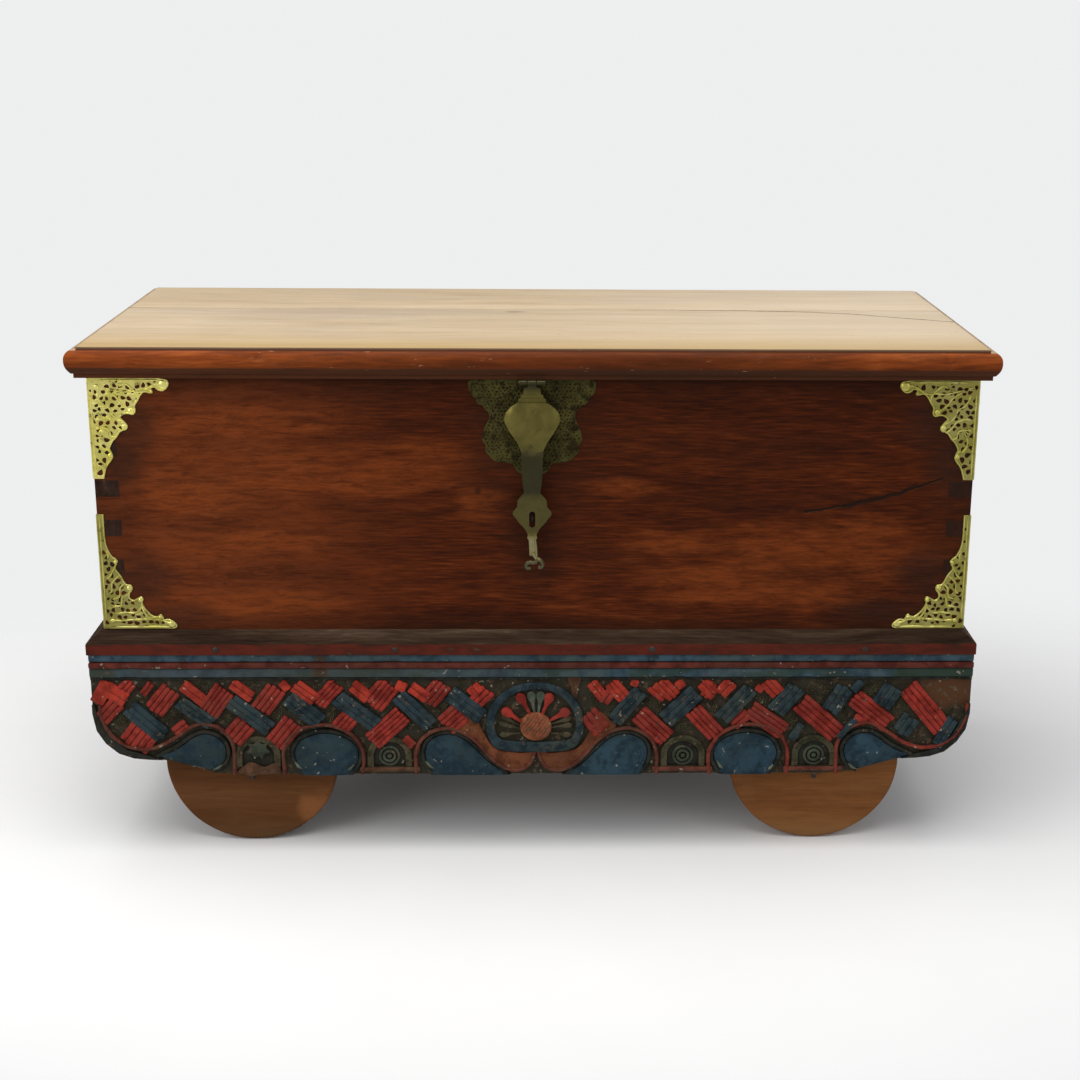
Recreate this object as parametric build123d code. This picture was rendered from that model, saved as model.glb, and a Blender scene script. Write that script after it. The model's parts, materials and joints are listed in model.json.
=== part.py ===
"""Arabic dowry chest on four solid wheels.

X runs along the chest, the front faces -Y and Z is up from the floor. The origin lies on the floor
under the middle of the whole chest. All lengths are millimetres.
"""

from build123d import *
import math
import os

# ---- Carcass: four boards dovetailed at the corners ----
body_length = 1250.0
body_depth = 520.0
body_height = 385.4
board = 34.0
tail_width = 24.0
tail_root = 18.0
tail_pitch = 58.2

# ---- Base: apron boards, cornice and floor ----
ground_clearance = 124.0
apron_height = 190.6
apron_board = 32.0
apron_reach = 20.0
carving_depth = 4.0
cornice_height = 33.0
cornice_reach = 21.5
cornice_fillet = 16.4
floor_board = 28.0
floor_count = 3
base_shift = -3.5
side_apron_drop = 109.6
corner_height = 98.0
corner_run = 57.0
corner_rise = 28.0
corner_bulge = 17.0
corner_bulge_height = 53.0
sweep_run = 160.0
sweep_pull = 70.0
blue_band = 12.0
red_fillet = 8.5
lower_band = 17.0
band_sink = 3.0
band_line = 1.5
reed_count = 3
reed_bulge = 1.3
block_size = 45.0
block_drop = 100.0

# ---- Wheels and axles ----
wheel_radius = 128.5
wheel_thickness = 48.0
wheel_inset = 202.0
wheel_gap = 12.5
axle_size = 56.0
journal_radius = 19.0
running_clearance = 0.6
shoulder_clearance = 1.5
journal_end = 10.0
linchpin_size = 6.0
linchpin_overhang = 7.0
bearer_thickness = 36.0
bearer_foot = 110.0
bearer_head = 200.0
bearer_drop = 16.0
bearer_setback = 22.0

# ---- Lid: two planks framed by a moulding on three sides ----
lid_board = 30.0
front_plank = 341.5
plank_overhang = 11.5
rear_overhang = 22.5
moulding_reach = 25.0
moulding_widest = 14.0
lip_drop = 12.5
lip_gap = 3.5
lip_fillet = 15.0
lip_fillet_height = 6.5
lip_fillet_set = 2.5
ovolo_lower_bow = 0.11
ovolo_upper_bow = 0.19
quirk_width = 2.0
quirk_depth = 6.0
quirk_drop = 1.5
batten_width = 45.0
batten_depth = 20.0
batten_inset = 70.0
batten_clearance = 12.0
batten_nails = (0.15, 0.85)

# ---- Strap hinges, let into the back board ----
hinge_spacing = 780.0
hinge_width = 48.0
hinge_sheet = 3.0
hinge_drop = 150.0
strap_width = 36.0
strap_length = 230.0
strap_tip = 22.0
strap_nails = (0.05, 0.6)
plate_nails = (0.35, 0.85)
knuckle_radius = 5.5
knuckle_gap = 0.4
pivot_offset = 1.5
pivot_drop = 6.2
hinge_pin = 2.5
pin_clearance = 0.15
pin_head = 4.2
pin_head_height = 1.5
mortise_clearance = 0.5

# ---- Lock plate, staple and hasp ----
lock_centre = -6.0
lock_sheet = 2.0
lock_height = 141.0
lock_half = 89.5
lock_top_gap = 2.8
LOCK_WING = [(lock_half, 0.0), (lock_half - 1.0, 16.0)]
LOCK_WAIST = (60.0, 58.0)
LOCK_LOBES = [LOCK_WAIST, (56.5, 114.0), (20.0, 136.0), (0.0, lock_height)]
LOCK_NAILS = [(77.0, 9.0), (52.0, 104.0)]
waist_bow = 0.06
lobe_bow = 0.16
staple_bar = 5.0
staple_half = 6.5
staple_reach = 17.0
staple_leg = 18.0
hasp_standoff = 18.0
hasp_sheet = 3.0
hasp_dome = 8.0
hasp_dome_radius = 33.0
dome_drop = 56.0
hasp_knuckle = 3.5
hasp_pin = 1.6
hasp_pin_head = 3.0
hasp_hinge_width = 38.0
leaf_sheet = 2.0
leaf_height = 12.0
slot_drop = 198.0
slot_half = 6.0
slot_height = 24.0
tail_drop = 272.0
tail_half = 11.0
tail_lift = 6.0
neck_drop = 7.0
HASP_NECK = [(15.5, 10.0), (16.7, 22.0)]
HASP_BALLOON = [HASP_NECK[-1], (38.8, 53.5), (30.0, 77.0)]
HASP_TAPER = [HASP_BALLOON[-1], (16.8, 104.0)]
HASP_STRAP = [HASP_TAPER[-1], (13.4, 155.0)]
HASP_ROSETTE = [HASP_STRAP[-1], (27.0, 192.0), (7.5, 222.0)]
HASP_TAIL = [HASP_ROSETTE[-1], (3.9, 236.0), (3.0, 250.0)]
balloon_bow = 0.14
taper_bow = 0.04
rosette_bow = 0.05

# ---- Brass corner mounts ----
mount_sheet = 2.0
mount_top_gap = 2.5
mount_bottom_gap = 1.0
mount_hole = 3.2
upper_mount = 145.0
lower_mount = 172.0
lower_strip = 10.0
strip_start = 22.0
mount_nail = 12.0
scallop_bow = 0.16
piercing_turn = 40.0
UPPER_SCALLOPS = [(112, 0), (97, 13), (66, 34), (45, 60), (28, 98), (15, 143)]
LOWER_SCALLOPS = [(104, 0), (84, 14), (60, 34), (45, 58), (28, 96), (13, 126)]
MOUNT_PIERCINGS = [(72, 10), (38, 34), (20, 76)]

# ---- Drop handles on the ends ----
handle_below_top = 170.0
handle_half = 64.0
handle_drop = 52.0
handle_bar = 8.0
handle_shoulder = 9.0
handle_corner = 18.0
handle_pin = 3.8
handle_clearance = 0.4
handle_pin_end = 2.5
eye_gap = 1.0
eye_standoff = 13.0
eye_radius = 8.5
eye_width = 9.0
eye_neck = 9.0
rose_radius = 17.0
rose_sheet = 2.5
tang_size = 6.0
tang_length = 28.0

# ---- Nails ----
nail_head = 4.5
nail_head_height = 2.0
nail_shank = 2.6
nail_length = 16.0
nail_taper = 40.0
cornice_nails = (-470.0, -187.0, 187.0, 470.0)

# ---- Levels and faces that follow ----
apron_top = ground_clearance + apron_height
body_bottom = apron_top + cornice_height
body_top = body_bottom + body_height
lid_top = body_top + lid_board
floor_under = body_bottom - floor_board
front_reach = hasp_standoff + hasp_sheet + hasp_dome
body_front = front_reach - (front_reach + body_depth + rear_overhang) / 2
body_back = body_front + body_depth
body_half = body_length / 2
lid_back = body_back + rear_overhang
plank_half = body_half + plank_overhang
apron_inner = apron_board - apron_reach
carved_ground = apron_reach - carving_depth
apron_half = body_half + apron_reach
hasp_pivot_y = body_front - hasp_standoff - hasp_sheet / 2
hasp_pivot_z = body_top - lip_drop - hasp_knuckle
staple_height = hasp_pivot_z - slot_drop
SIDES = {"left": -1, "right": 1}

nodes = {}


def block(x_range, y_range, z_range):
    """A square-edged board between two opposite corners."""
    (x0, x1), (y0, y1), (z0, z1) = x_range, y_range, z_range
    centre = Pos((x0 + x1) / 2, (y0 + y1) / 2, (z0 + z1) / 2)
    return centre * Box(x1 - x0, y1 - y0, z1 - z0)


def span(side, near, far):
    """The X range between two distances from the middle, on the left (-1) or right (1)."""
    return tuple(sorted((side * near, side * far)))


def front_plane(y):
    """A plane facing forward at depth y: its own x is X and its own y is Z."""
    return Plane(origin=(0, y, 0), x_dir=(1, 0, 0), z_dir=(0, -1, 0))


def moulding_run(section, start, outward, length):
    """A moulding: its section stands on a straight edge, u outward and v up, and runs for length."""
    along = Vector(*outward).cross(Vector(0, 0, 1))
    plane = Plane(origin=start, x_dir=outward, z_dir=along)
    return extrude(plane * section, amount=length)


def mitre(side, x_corner):
    """The upright plane through a front corner at 45 degrees; the front strip is on its positive side."""
    return Plane(origin=(x_corner, body_front, 0), z_dir=(-side, -1, 0))


def group(parts):
    """Separate solids that share one node."""
    return Compound(children=list(parts))


def chain(points, bulge):
    """Arcs from point to point, each bowed to the left of travel by a share of its chord."""
    edges = []
    for (x0, y0), (x1, y1) in zip(points, points[1:]):
        middle = ((x0 + x1) / 2 + (y1 - y0) * -bulge, (y0 + y1) / 2 + (x1 - x0) * bulge)
        edges.append(ThreePointArc((x0, y0), middle, (x1, y1)))
    return edges


# ---- Forged nails: a four-faceted head on the surface and a square shank in a square hole ----

def drive_nails(name, planes, through, length=nail_length):
    """Nails at the given planes (origin on the surface, z outward), and their holes in the pieces."""
    head = extrude(RegularPolygon(nail_head, 4), amount=nail_head_height, taper=nail_taper)
    shank = Pos(0, 0, -length / 2) * Box(nail_shank, nail_shank, length)
    shanks = [plane * shank for plane in planes]
    for node in through:
        nodes[node] = nodes[node] - shanks
    nodes[name] = group(plane * (head + shank) for plane in planes)


def tube_x(radius, x_range, y, z):
    """A round bar along X."""
    low, high = x_range
    return Pos((low + high) / 2, y, z) * Rot(0, 90, 0) * Cylinder(radius, high - low)


def riveted_pin(radius, head, x_range, y, z):
    """A hinge pin along X with a hexagonal head closed over each end."""
    low, high = x_range
    pin = tube_x(radius, x_range, y, z)
    for start in (low - pin_head_height, high):
        plane = Plane(origin=(start, y, z), x_dir=(0, 1, 0), z_dir=(1, 0, 0))
        pin += extrude(plane * RegularPolygon(head, 6), amount=pin_head_height)
    return pin


def facing_front(x, y, z):
    return Plane(origin=(x, y, z), x_dir=(1, 0, 0), z_dir=(0, -1, 0))


def facing_side(side, x, y, z):
    return Plane(origin=(x, y, z), x_dir=(0, 1, 0), z_dir=(side, 0, 0))


# ---- Carcass ----

def tail_levels():
    count = int((body_height - tail_width) // tail_pitch)
    return [body_top - tail_pitch * (step + 1) for step in range(count)]


def dovetails(side):
    """The tails of one end board: straight on the front face, flared on the end face."""
    tails = []
    x_outer = side * body_half
    plane = Plane(origin=(x_outer, 0, 0), x_dir=(0, 1, 0), z_dir=(1, 0, 0))
    for face, inward in ((body_front, 1), (body_back, -1)):
        root = face + inward * board
        for level in tail_levels():
            wide = tail_width / 2
            narrow = tail_root / 2
            corners = [(face, level - wide), (face, level + wide),
                       (root, level + narrow), (root, level - narrow)]
            profile = make_face(Polyline(*corners, close=True))
            tails.append(extrude(plane * profile, amount=-side * board))
    return tails


def make_carcass():
    height = (body_bottom, body_top)
    long_boards = {
        "front_board": (body_front, body_front + board),
        "back_board": (body_back - board, body_back),
    }
    for name, depth in long_boards.items():
        nodes[name] = block((-body_half, body_half), depth, height)
    for name, side in SIDES.items():
        tails = dovetails(side)
        between = (body_front + board, body_back - board)
        end = block(span(side, body_half - board, body_half), between, height)
        nodes[f"end_board_{name}"] = end + tails
        for long_board in long_boards:
            nodes[long_board] = nodes[long_board] - tails


# ---- Base ----

def apron_outline(half, bottom, top):
    """Front view of an apron: rounded lower corners that ease down into a level bottom edge."""
    corner_in = half - corner_run
    corner_z = bottom + corner_rise
    sweep_in = corner_in - sweep_run
    edges = []
    for side in (-1, 1):
        edges.append(Line((side * half, top), (side * half, bottom + corner_height)))
        edges.append(ThreePointArc(
            (side * half, bottom + corner_height),
            (side * (half - corner_bulge), bottom + corner_bulge_height),
            (side * corner_in, corner_z)))
        edges.append(Bezier(
            (side * corner_in, corner_z),
            (side * (corner_in - sweep_pull), corner_z),
            (side * (sweep_in + sweep_pull), bottom),
            (side * sweep_in, bottom)))
    edges.append(Line((-sweep_in, bottom), (sweep_in, bottom)))
    edges.append(Line((-half, top), (half, top)))
    return make_face(edges)


def frieze_section():
    """The bands over the carved field, u outward from the carcass face, v down from the apron top."""
    low = apron_reach - band_sink
    levels = [0.0, blue_band, blue_band + red_fillet, blue_band + red_fillet + lower_band]
    reaches = [low, apron_reach, low]
    faces = Sketch()
    for reach, top, bottom in zip(reaches, levels, levels[1:]):
        faces += make_face(Polyline((0, -top), (reach, -top), (reach, -bottom + band_line),
                                    (reach - band_line, -bottom), (0, -bottom), close=True))
    return faces


def cornice_section():
    """Flat fillet below, reeded slope above; u outward from the carcass face, v up from the apron."""
    top = (0.0, cornice_height)
    edge = (cornice_reach, cornice_fillet)
    steps = [step / reed_count for step in range(reed_count + 1)]
    slope = [(edge[0] + (top[0] - edge[0]) * s, edge[1] + (top[1] - edge[1]) * s) for s in steps]
    reeds = chain(slope, -reed_bulge * reed_count / (cornice_reach + cornice_fillet))
    flats = [Line(top, (0, 0)), Line((0, 0), (cornice_reach, 0)), Line((cornice_reach, 0), edge)]
    return make_face(flats + reeds)


def make_base():
    # Front apron: full-width board, carved field sunk below its frieze, tongue up behind the cornice.
    outline = apron_outline(apron_half, ground_clearance, apron_top)
    front = extrude(front_plane(body_front + apron_inner) * outline, amount=apron_board - carving_depth)
    front += block((-body_half, body_half), (body_front, body_front + apron_inner), (apron_top, floor_under))
    front += moulding_run(frieze_section(), (apron_half, body_front, apron_top), (0, -1, 0), 2 * apron_half)
    nodes["apron_front"] = Pos(base_shift, 0, 0) * front

    rear = extrude(front_plane(body_back) * outline, amount=apron_board)
    rear += block((-body_half, body_half), (body_back - apron_board, body_back), (apron_top, floor_under))
    nodes["apron_rear"] = Pos(base_shift, 0, 0) * rear

    side_y = (body_front + apron_inner, body_back - apron_board)
    for name, side in SIDES.items():
        inner = body_half - apron_inner
        levels = (apron_top - side_apron_drop, apron_top)
        run = block(span(side, inner, body_half + carved_ground), side_y, levels)
        run += block(span(side, inner, body_half), side_y, (apron_top, floor_under))
        start = side_y[0] if side < 0 else side_y[1]
        run += moulding_run(frieze_section(), (side * body_half, start, apron_top), (side, 0, 0),
                            side_y[1] - side_y[0])
        nodes[f"apron_{name}"] = Pos(base_shift, 0, 0) * run

    # Cornice: mitred at the front corners, cut square at the back.
    reach = body_half + cornice_reach
    strip = moulding_run(cornice_section(), (reach, body_front, apron_top), (0, -1, 0), 2 * reach)
    for side in SIDES.values():
        strip = split(strip, bisect_by=mitre(side, side * body_half), keep=Keep.TOP)
    nodes["cornice_front"] = Pos(base_shift, 0, 0) * strip
    for name, side in SIDES.items():
        start = body_front - cornice_reach if side < 0 else body_back
        strip = moulding_run(cornice_section(), (side * body_half, start, apron_top), (side, 0, 0),
                             body_back - body_front + cornice_reach)
        strip = split(strip, bisect_by=mitre(side, side * body_half), keep=Keep.BOTTOM)
        nodes[f"cornice_{name}"] = Pos(base_shift, 0, 0) * strip

    width = body_depth / floor_count
    for index in range(floor_count):
        depth = (body_front + width * index, body_front + width * (index + 1))
        plank = block((-body_half, body_half), depth, (floor_under, body_bottom))
        nodes[f"floor_board_{index + 1}"] = Pos(base_shift, 0, 0) * plank

    corner = body_half - apron_inner
    levels = (floor_under - block_drop, floor_under)
    blocks = []
    for side in SIDES.values():
        for depth in ((side_y[0], side_y[0] + block_size), (side_y[1] - block_size, side_y[1])):
            post = block(span(side, corner - block_size, corner), depth, levels)
            blocks.append(Pos(base_shift, 0, 0) * post)
    nodes["corner_blocks"] = group(blocks)

    nail_z = apron_top + cornice_fillet / 2
    planes = [facing_front(base_shift + x, body_front - cornice_reach, nail_z) for x in cornice_nails]
    drive_nails("cornice_nails", planes, ["cornice_front", "floor_board_1"], cornice_reach + nail_length)


# ---- Running gear ----

def make_running_gear():
    wheel_faces = {
        "front": (body_front + apron_inner + wheel_gap, 1),
        "rear": (body_back - apron_board - wheel_gap, -1),
    }
    shoulders = {end: face + inward * (wheel_thickness + shoulder_clearance)
                 for end, (face, inward) in wheel_faces.items()}
    pins = []
    for name, side in SIDES.items():
        x = base_shift + side * (body_half - wheel_inset)
        beam = block((x - axle_size / 2, x + axle_size / 2), (shoulders["front"], shoulders["rear"]),
                     (wheel_radius - axle_size / 2, wheel_radius + axle_size / 2))
        half = linchpin_size / 2
        for end, (face, inward) in wheel_faces.items():
            tip = face - inward * journal_end
            low, high = sorted((tip, shoulders[end]))
            centre = Pos(x, (low + high) / 2, wheel_radius)
            journal = centre * Rot(90, 0, 0) * Cylinder(journal_radius, high - low)
            pin_y = face - inward * journal_end / 2
            reach = journal_radius + linchpin_overhang
            pin = block((x - half, x + half), (pin_y - half, pin_y + half),
                        (wheel_radius - reach, wheel_radius + reach))
            beam = beam + journal - pin
            pins.append(pin)
            nodes[f"wheel_{end}_{name}"] = wheel(x, face, inward)
        nodes[f"axle_{name}"] = beam
        nodes[f"axle_bearers_{name}"] = group(bearer(x, shoulders[end] + inward * bearer_setback, inward)
                                              for end, (face, inward) in wheel_faces.items())
    nodes["linchpins"] = group(pins)


def wheel(x, face, inward):
    """A solid disc, bored for the journal."""
    outer = Plane(origin=(x, face, wheel_radius), x_dir=(1, 0, 0), z_dir=(0, inward, 0))
    disc = Circle(wheel_radius) - Circle(journal_radius + running_clearance)
    return extrude(outer * disc, amount=wheel_thickness)


def bearer(x, y, inward):
    """A tapered board under the floor with the axle beam housed through it."""
    bottom = wheel_radius - axle_size / 2 - bearer_drop
    corners = [(x - bearer_foot / 2, bottom), (x + bearer_foot / 2, bottom),
               (x + bearer_head / 2, floor_under), (x - bearer_head / 2, floor_under)]
    plane = front_plane(y + bearer_thickness if inward > 0 else y)
    plate = extrude(plane * make_face(Polyline(*corners, close=True)), amount=bearer_thickness)
    through = (y - 2 * bearer_thickness, y + 2 * bearer_thickness)
    housing = block((x - axle_size / 2, x + axle_size / 2), through,
                    (wheel_radius - axle_size / 2, wheel_radius + axle_size / 2))
    return plate - housing


# ---- Lid ----

def moulding_section():
    """Ovolo over a small fillet, with a lip that hangs past the lid's underside; v = 0 there."""
    lip = -lip_drop
    shoulder = lip + lip_fillet_height
    bulge = (moulding_reach, moulding_widest)
    crest = (plank_overhang + quirk_width, lid_board - quirk_drop)
    start = (lip_fillet + lip_fillet_set, shoulder)
    ovolo = chain([start, bulge], -ovolo_lower_bow) + chain([bulge, crest], -ovolo_upper_bow)
    return make_face(ovolo + [
        Line((lip_gap, 0), (lip_gap, lip)),
        Line((lip_gap, lip), (lip_fillet, lip)),
        Line((lip_fillet, lip), (lip_fillet, shoulder)),
        Line((lip_fillet, shoulder), start),
        Line(crest, (plank_overhang, lid_board - quirk_depth)),
        Line((plank_overhang, lid_board - quirk_depth), (plank_overhang, 0)),
        Line((plank_overhang, 0), (lip_gap, 0)),
    ])


def make_lid():
    front_edge = body_front - plank_overhang
    joint = front_edge + front_plank
    width = (-plank_half, plank_half)
    nodes["lid_plank_front"] = block(width, (front_edge, joint), (body_top, lid_top))
    nodes["lid_plank_rear"] = block(width, (joint, lid_back), (body_top, lid_top))

    reach = body_half + moulding_reach
    strip = moulding_run(moulding_section(), (reach, body_front, body_top), (0, -1, 0), 2 * reach)
    for side in SIDES.values():
        strip = split(strip, bisect_by=mitre(side, side * body_half), keep=Keep.TOP)
    nodes["lid_moulding_front"] = strip
    for name, side in SIDES.items():
        start = body_front - moulding_reach if side < 0 else lid_back
        strip = moulding_run(moulding_section(), (side * body_half, start, body_top), (side, 0, 0),
                             lid_back - body_front + moulding_reach)
        corner = mitre(side, side * body_half)
        nodes[f"lid_moulding_{name}"] = split(strip, bisect_by=corner, keep=Keep.BOTTOM)

    inner_front = body_front + board + batten_clearance
    inner_back = body_back - board - batten_clearance
    nail_planes = []
    for name, side in SIDES.items():
        middle = side * (body_half - board - batten_inset)
        nodes[f"lid_batten_{name}"] = block((middle - batten_width / 2, middle + batten_width / 2),
                                            (inner_front, inner_back), (body_top - batten_depth, body_top))
        for share in batten_nails:
            y = inner_front + (inner_back - inner_front) * share
            nail_planes.append(Plane(origin=(middle, y, body_top - batten_depth), z_dir=(0, 0, -1)))
    drive_nails("lid_batten_nails", nail_planes,
                ["lid_batten_left", "lid_batten_right", "lid_plank_front", "lid_plank_rear"],
                batten_depth + nail_length)


# ---- Hinges ----

def make_hinges():
    pivot_y = body_back + pivot_offset
    pivot_z = body_top - pivot_drop
    third = hinge_width / 3
    strap_planes = []
    plate_planes = []
    for name, side in SIDES.items():
        x = side * hinge_spacing / 2
        left = (x - hinge_width / 2, x - third / 2 - knuckle_gap)
        middle = (x - third / 2, x + third / 2)
        right = (x + third / 2 + knuckle_gap, x + hinge_width / 2)
        bore = tube_x(hinge_pin + pin_clearance, (left[0], right[1]), pivot_y, pivot_z)

        sheet = (body_back - hinge_sheet, body_back)
        notch_z = pivot_z - knuckle_radius - mortise_clearance
        plate = block((left[0], right[1]), sheet, (body_top - hinge_drop, notch_z))
        for knuckle in (left, right):
            plate += block(knuckle, sheet, (notch_z, pivot_z))
            plate += tube_x(knuckle_radius, knuckle, pivot_y, pivot_z)
        nodes[f"hinge_plate_{name}"] = plate - bore

        strap_z = (body_top - hinge_sheet, body_top)
        wide = (x - strap_width / 2, x + strap_width / 2)
        mortise_front = pivot_y - knuckle_radius - mortise_clearance
        strap = block(wide, (pivot_y - strap_length, mortise_front - mortise_clearance), strap_z)
        strap += block(middle, (pivot_y - strap_length, pivot_y), strap_z)
        strap += tube_x(knuckle_radius, middle, pivot_y, pivot_z)
        tip = extrude(RegularPolygon(strap_tip, 6), amount=hinge_sheet)
        strap += Pos(x, pivot_y - strap_length, strap_z[0]) * tip
        nodes[f"hinge_strap_{name}"] = strap - bore

        nodes[f"hinge_pin_{name}"] = riveted_pin(hinge_pin, pin_head, (left[0], right[1]), pivot_y, pivot_z)

        # The back board is let in for the plate, the knuckles and the strap.
        head_room = pin_head_height + mortise_clearance
        cut = block((left[0], right[1]), sheet, (body_top - hinge_drop, body_top))
        cut += block((left[0] - head_room, right[1] + head_room), (mortise_front, body_back),
                     (notch_z, body_top))
        cut += block((wide[0] - mortise_clearance, wide[1] + mortise_clearance),
                     (body_back - board, body_back), (body_top - hinge_sheet - mortise_clearance, body_top))
        nodes["back_board"] = nodes["back_board"] - cut

        for share in strap_nails:
            y = pivot_y - strap_length * (1 - share)
            strap_planes.append(Plane(origin=(x, y, body_top - hinge_sheet), z_dir=(0, 0, -1)))
        for share in plate_nails:
            z = body_top - hinge_drop * share
            plate_planes.append(Plane(origin=(x, body_back, z), x_dir=(1, 0, 0), z_dir=(0, 1, 0)))
    drive_nails("hinge_strap_nails", strap_planes,
                ["hinge_strap_left", "hinge_strap_right", "lid_plank_front", "lid_plank_rear"])
    drive_nails("hinge_plate_nails", plate_planes, ["hinge_plate_left", "hinge_plate_right", "back_board"])


# ---- Lock plate and staple ----

def hang(points, side, level):
    """Points of half an outline, from half widths about the lock's centre line and drops below level."""
    return [(lock_centre + side * half_width, level - drop) for half_width, drop in points]


def lines(points):
    return [Line(start, end) for start, end in zip(points, points[1:])]


def make_lock_plate():
    top = body_top - lip_drop - lock_top_gap
    edges = [Line((lock_centre - lock_half, top), (lock_centre + lock_half, top))]
    for side in SIDES.values():
        edges += lines(hang(LOCK_WING, side, top))
        edges += chain(hang([LOCK_WING[-1], LOCK_WAIST], side, top), -waist_bow * side)
        edges += chain(hang(LOCK_LOBES, side, top), lobe_bow * side)
    nodes["lock_plate"] = extrude(front_plane(body_front) * make_face(edges), amount=lock_sheet)

    planes = [facing_front(x, body_front - lock_sheet, z)
              for side in SIDES.values() for x, z in hang(LOCK_NAILS, side, top)]
    drive_nails("lock_plate_nails", planes, ["lock_plate", "front_board"])


def make_staple():
    """A bent square bar: two legs in the board and a round nose through the hasp's slot."""
    nose = body_front - staple_reach + staple_bar / 2 + staple_half
    foot = body_front + staple_leg
    low = staple_height - staple_half
    high = staple_height + staple_half
    path = [Line((lock_centre, foot, low), (lock_centre, nose, low)),
            ThreePointArc((lock_centre, nose, low), (lock_centre, nose - staple_half, staple_height),
                          (lock_centre, nose, high)),
            Line((lock_centre, nose, high), (lock_centre, foot, high))]
    start = Plane(origin=(lock_centre, foot, low), z_dir=(0, -1, 0))
    nodes["staple"] = sweep(start * Rectangle(staple_bar, staple_bar), path=Wire(path))
    legs = [Pos(lock_centre, body_front + staple_leg / 2, level) * Box(staple_bar, staple_leg, staple_bar)
            for level in (low, high)]
    nodes["front_board"] = nodes["front_board"] - legs


# ---- Hasp, hung from a leaf on the lid's lip ----

def make_hasp_leaf():
    third = hasp_hinge_width / 3
    left = (lock_centre - hasp_hinge_width / 2, lock_centre - third / 2 - knuckle_gap)
    right = (lock_centre + third / 2 + knuckle_gap, lock_centre + hasp_hinge_width / 2)
    under_lip = body_top - lip_drop
    sheet = (under_lip - leaf_sheet, under_lip)
    full = (left[0], right[1])
    leaf_back = body_front - lip_gap + leaf_sheet
    leaf = block(full, (body_front - lip_gap, leaf_back), (under_lip - leaf_sheet, under_lip + leaf_height))
    leaf += block(full, (body_front - lip_fillet, leaf_back), sheet)
    for knuckle in (left, right):
        leaf += block(knuckle, (hasp_pivot_y, body_front - lip_fillet), sheet)
        leaf += tube_x(hasp_knuckle, knuckle, hasp_pivot_y, hasp_pivot_z)
    bore = tube_x(hasp_pin + pin_clearance, full, hasp_pivot_y, hasp_pivot_z)
    nodes["hasp_leaf"] = leaf - bore
    y_nail = body_front - (lip_gap + lip_fillet) / 2
    planes = [Plane(origin=(lock_centre + offset, y_nail, sheet[0]), z_dir=(0, 0, -1))
              for offset in (-third, third)]
    drive_nails("hasp_leaf_nails", planes, ["hasp_leaf", "lid_moulding_front"], lip_drop - leaf_sheet)

    nodes["hasp_pin"] = riveted_pin(hasp_pin, hasp_pin_head, full, hasp_pivot_y, hasp_pivot_z)


def make_hasp():
    """Neck, balloon, strap, rosette and tail, swinging on a barrel between the leaf's two knuckles."""
    third = hasp_hinge_width / 3
    foot = hasp_pivot_z - tail_drop
    knuckle = (lock_centre - third / 2, lock_centre + third / 2)
    edges = [Line((knuckle[0], hasp_pivot_z), (knuckle[1], hasp_pivot_z)),
             Line((lock_centre - tail_half, foot), (lock_centre + tail_half, foot))]
    neck = [(third / 2, 0.0), (third / 2, neck_drop)] + HASP_NECK
    tail = HASP_TAIL + [(tail_half, tail_drop)]
    curves = [(HASP_BALLOON, balloon_bow), (HASP_TAPER, -taper_bow), (HASP_ROSETTE, rosette_bow)]
    for side in SIDES.values():
        for straight in (neck, HASP_STRAP, tail):
            edges += lines(hang(straight, side, hasp_pivot_z))
        for curved, bow in curves:
            edges += chain(hang(curved, side, hasp_pivot_z), bow * side)
    plate = extrude(front_plane(body_front - hasp_standoff) * make_face(edges), amount=hasp_sheet)

    # The balloon is raised to a low dome.
    face_y = body_front - hasp_standoff - hasp_sheet
    dome_centre = hasp_pivot_z - dome_drop
    sphere_radius = (hasp_dome_radius ** 2 + hasp_dome ** 2) / (2 * hasp_dome)
    sphere_y = face_y + sphere_radius - hasp_dome
    dome = Pos(lock_centre, sphere_y, dome_centre) * Sphere(sphere_radius)
    around = 2 * hasp_dome_radius
    dome &= block((lock_centre - around, lock_centre + around), (face_y - 2 * hasp_dome, face_y),
                  (dome_centre - around, dome_centre + around))
    slot_face = Pos(lock_centre, staple_height) * SlotOverall(slot_height, 2 * slot_half, rotation=90)
    slot = extrude(front_plane(body_front) * slot_face, amount=front_reach)
    lift = block((lock_centre - tail_half, lock_centre + tail_half), (face_y - tail_lift, face_y),
                 (foot, foot + hasp_sheet))
    barrel = tube_x(hasp_knuckle, knuckle, hasp_pivot_y, hasp_pivot_z)
    bore = tube_x(hasp_pin + pin_clearance, knuckle, hasp_pivot_y, hasp_pivot_z)
    nodes["hasp"] = plate + dome + lift + barrel - slot - bore


# ---- Corner mounts: pierced sheet brass wrapped round the front corners ----

def left_mount(scallops, height, level, up):
    """The left corner's mount: u runs in from the corner, v runs up (1) or down (-1) from level."""
    def place(points):
        return [(-body_half + u, level + up * v) for u, v in points]

    tip = scallops[-1]
    far = [tip, (0, height)]
    if up > 0:
        far = [tip, (lower_strip, tip[1] + strip_start), (lower_strip, height), (0, height)]
    straight = lines(place([(0, height), (0, 0), scallops[0]])) + lines(place(far))
    face = make_face(straight + chain(place(scallops), -scallop_bow * up))
    for x, z in place(MOUNT_PIERCINGS):
        face -= Pos(x, z) * Rot(0, 0, piercing_turn) * Rectangle(mount_hole, 2 * mount_hole)
    flange = extrude(front_plane(body_front) * face, amount=mount_sheet)
    fold = Plane(origin=(-body_half, body_front, 0), z_dir=(1, -1, 0))
    edge = block((-body_half - mount_sheet, -body_half), (body_front - mount_sheet, body_front),
                 tuple(sorted((level, level + up * height))))
    return flange + mirror(flange, about=fold) + edge


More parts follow.
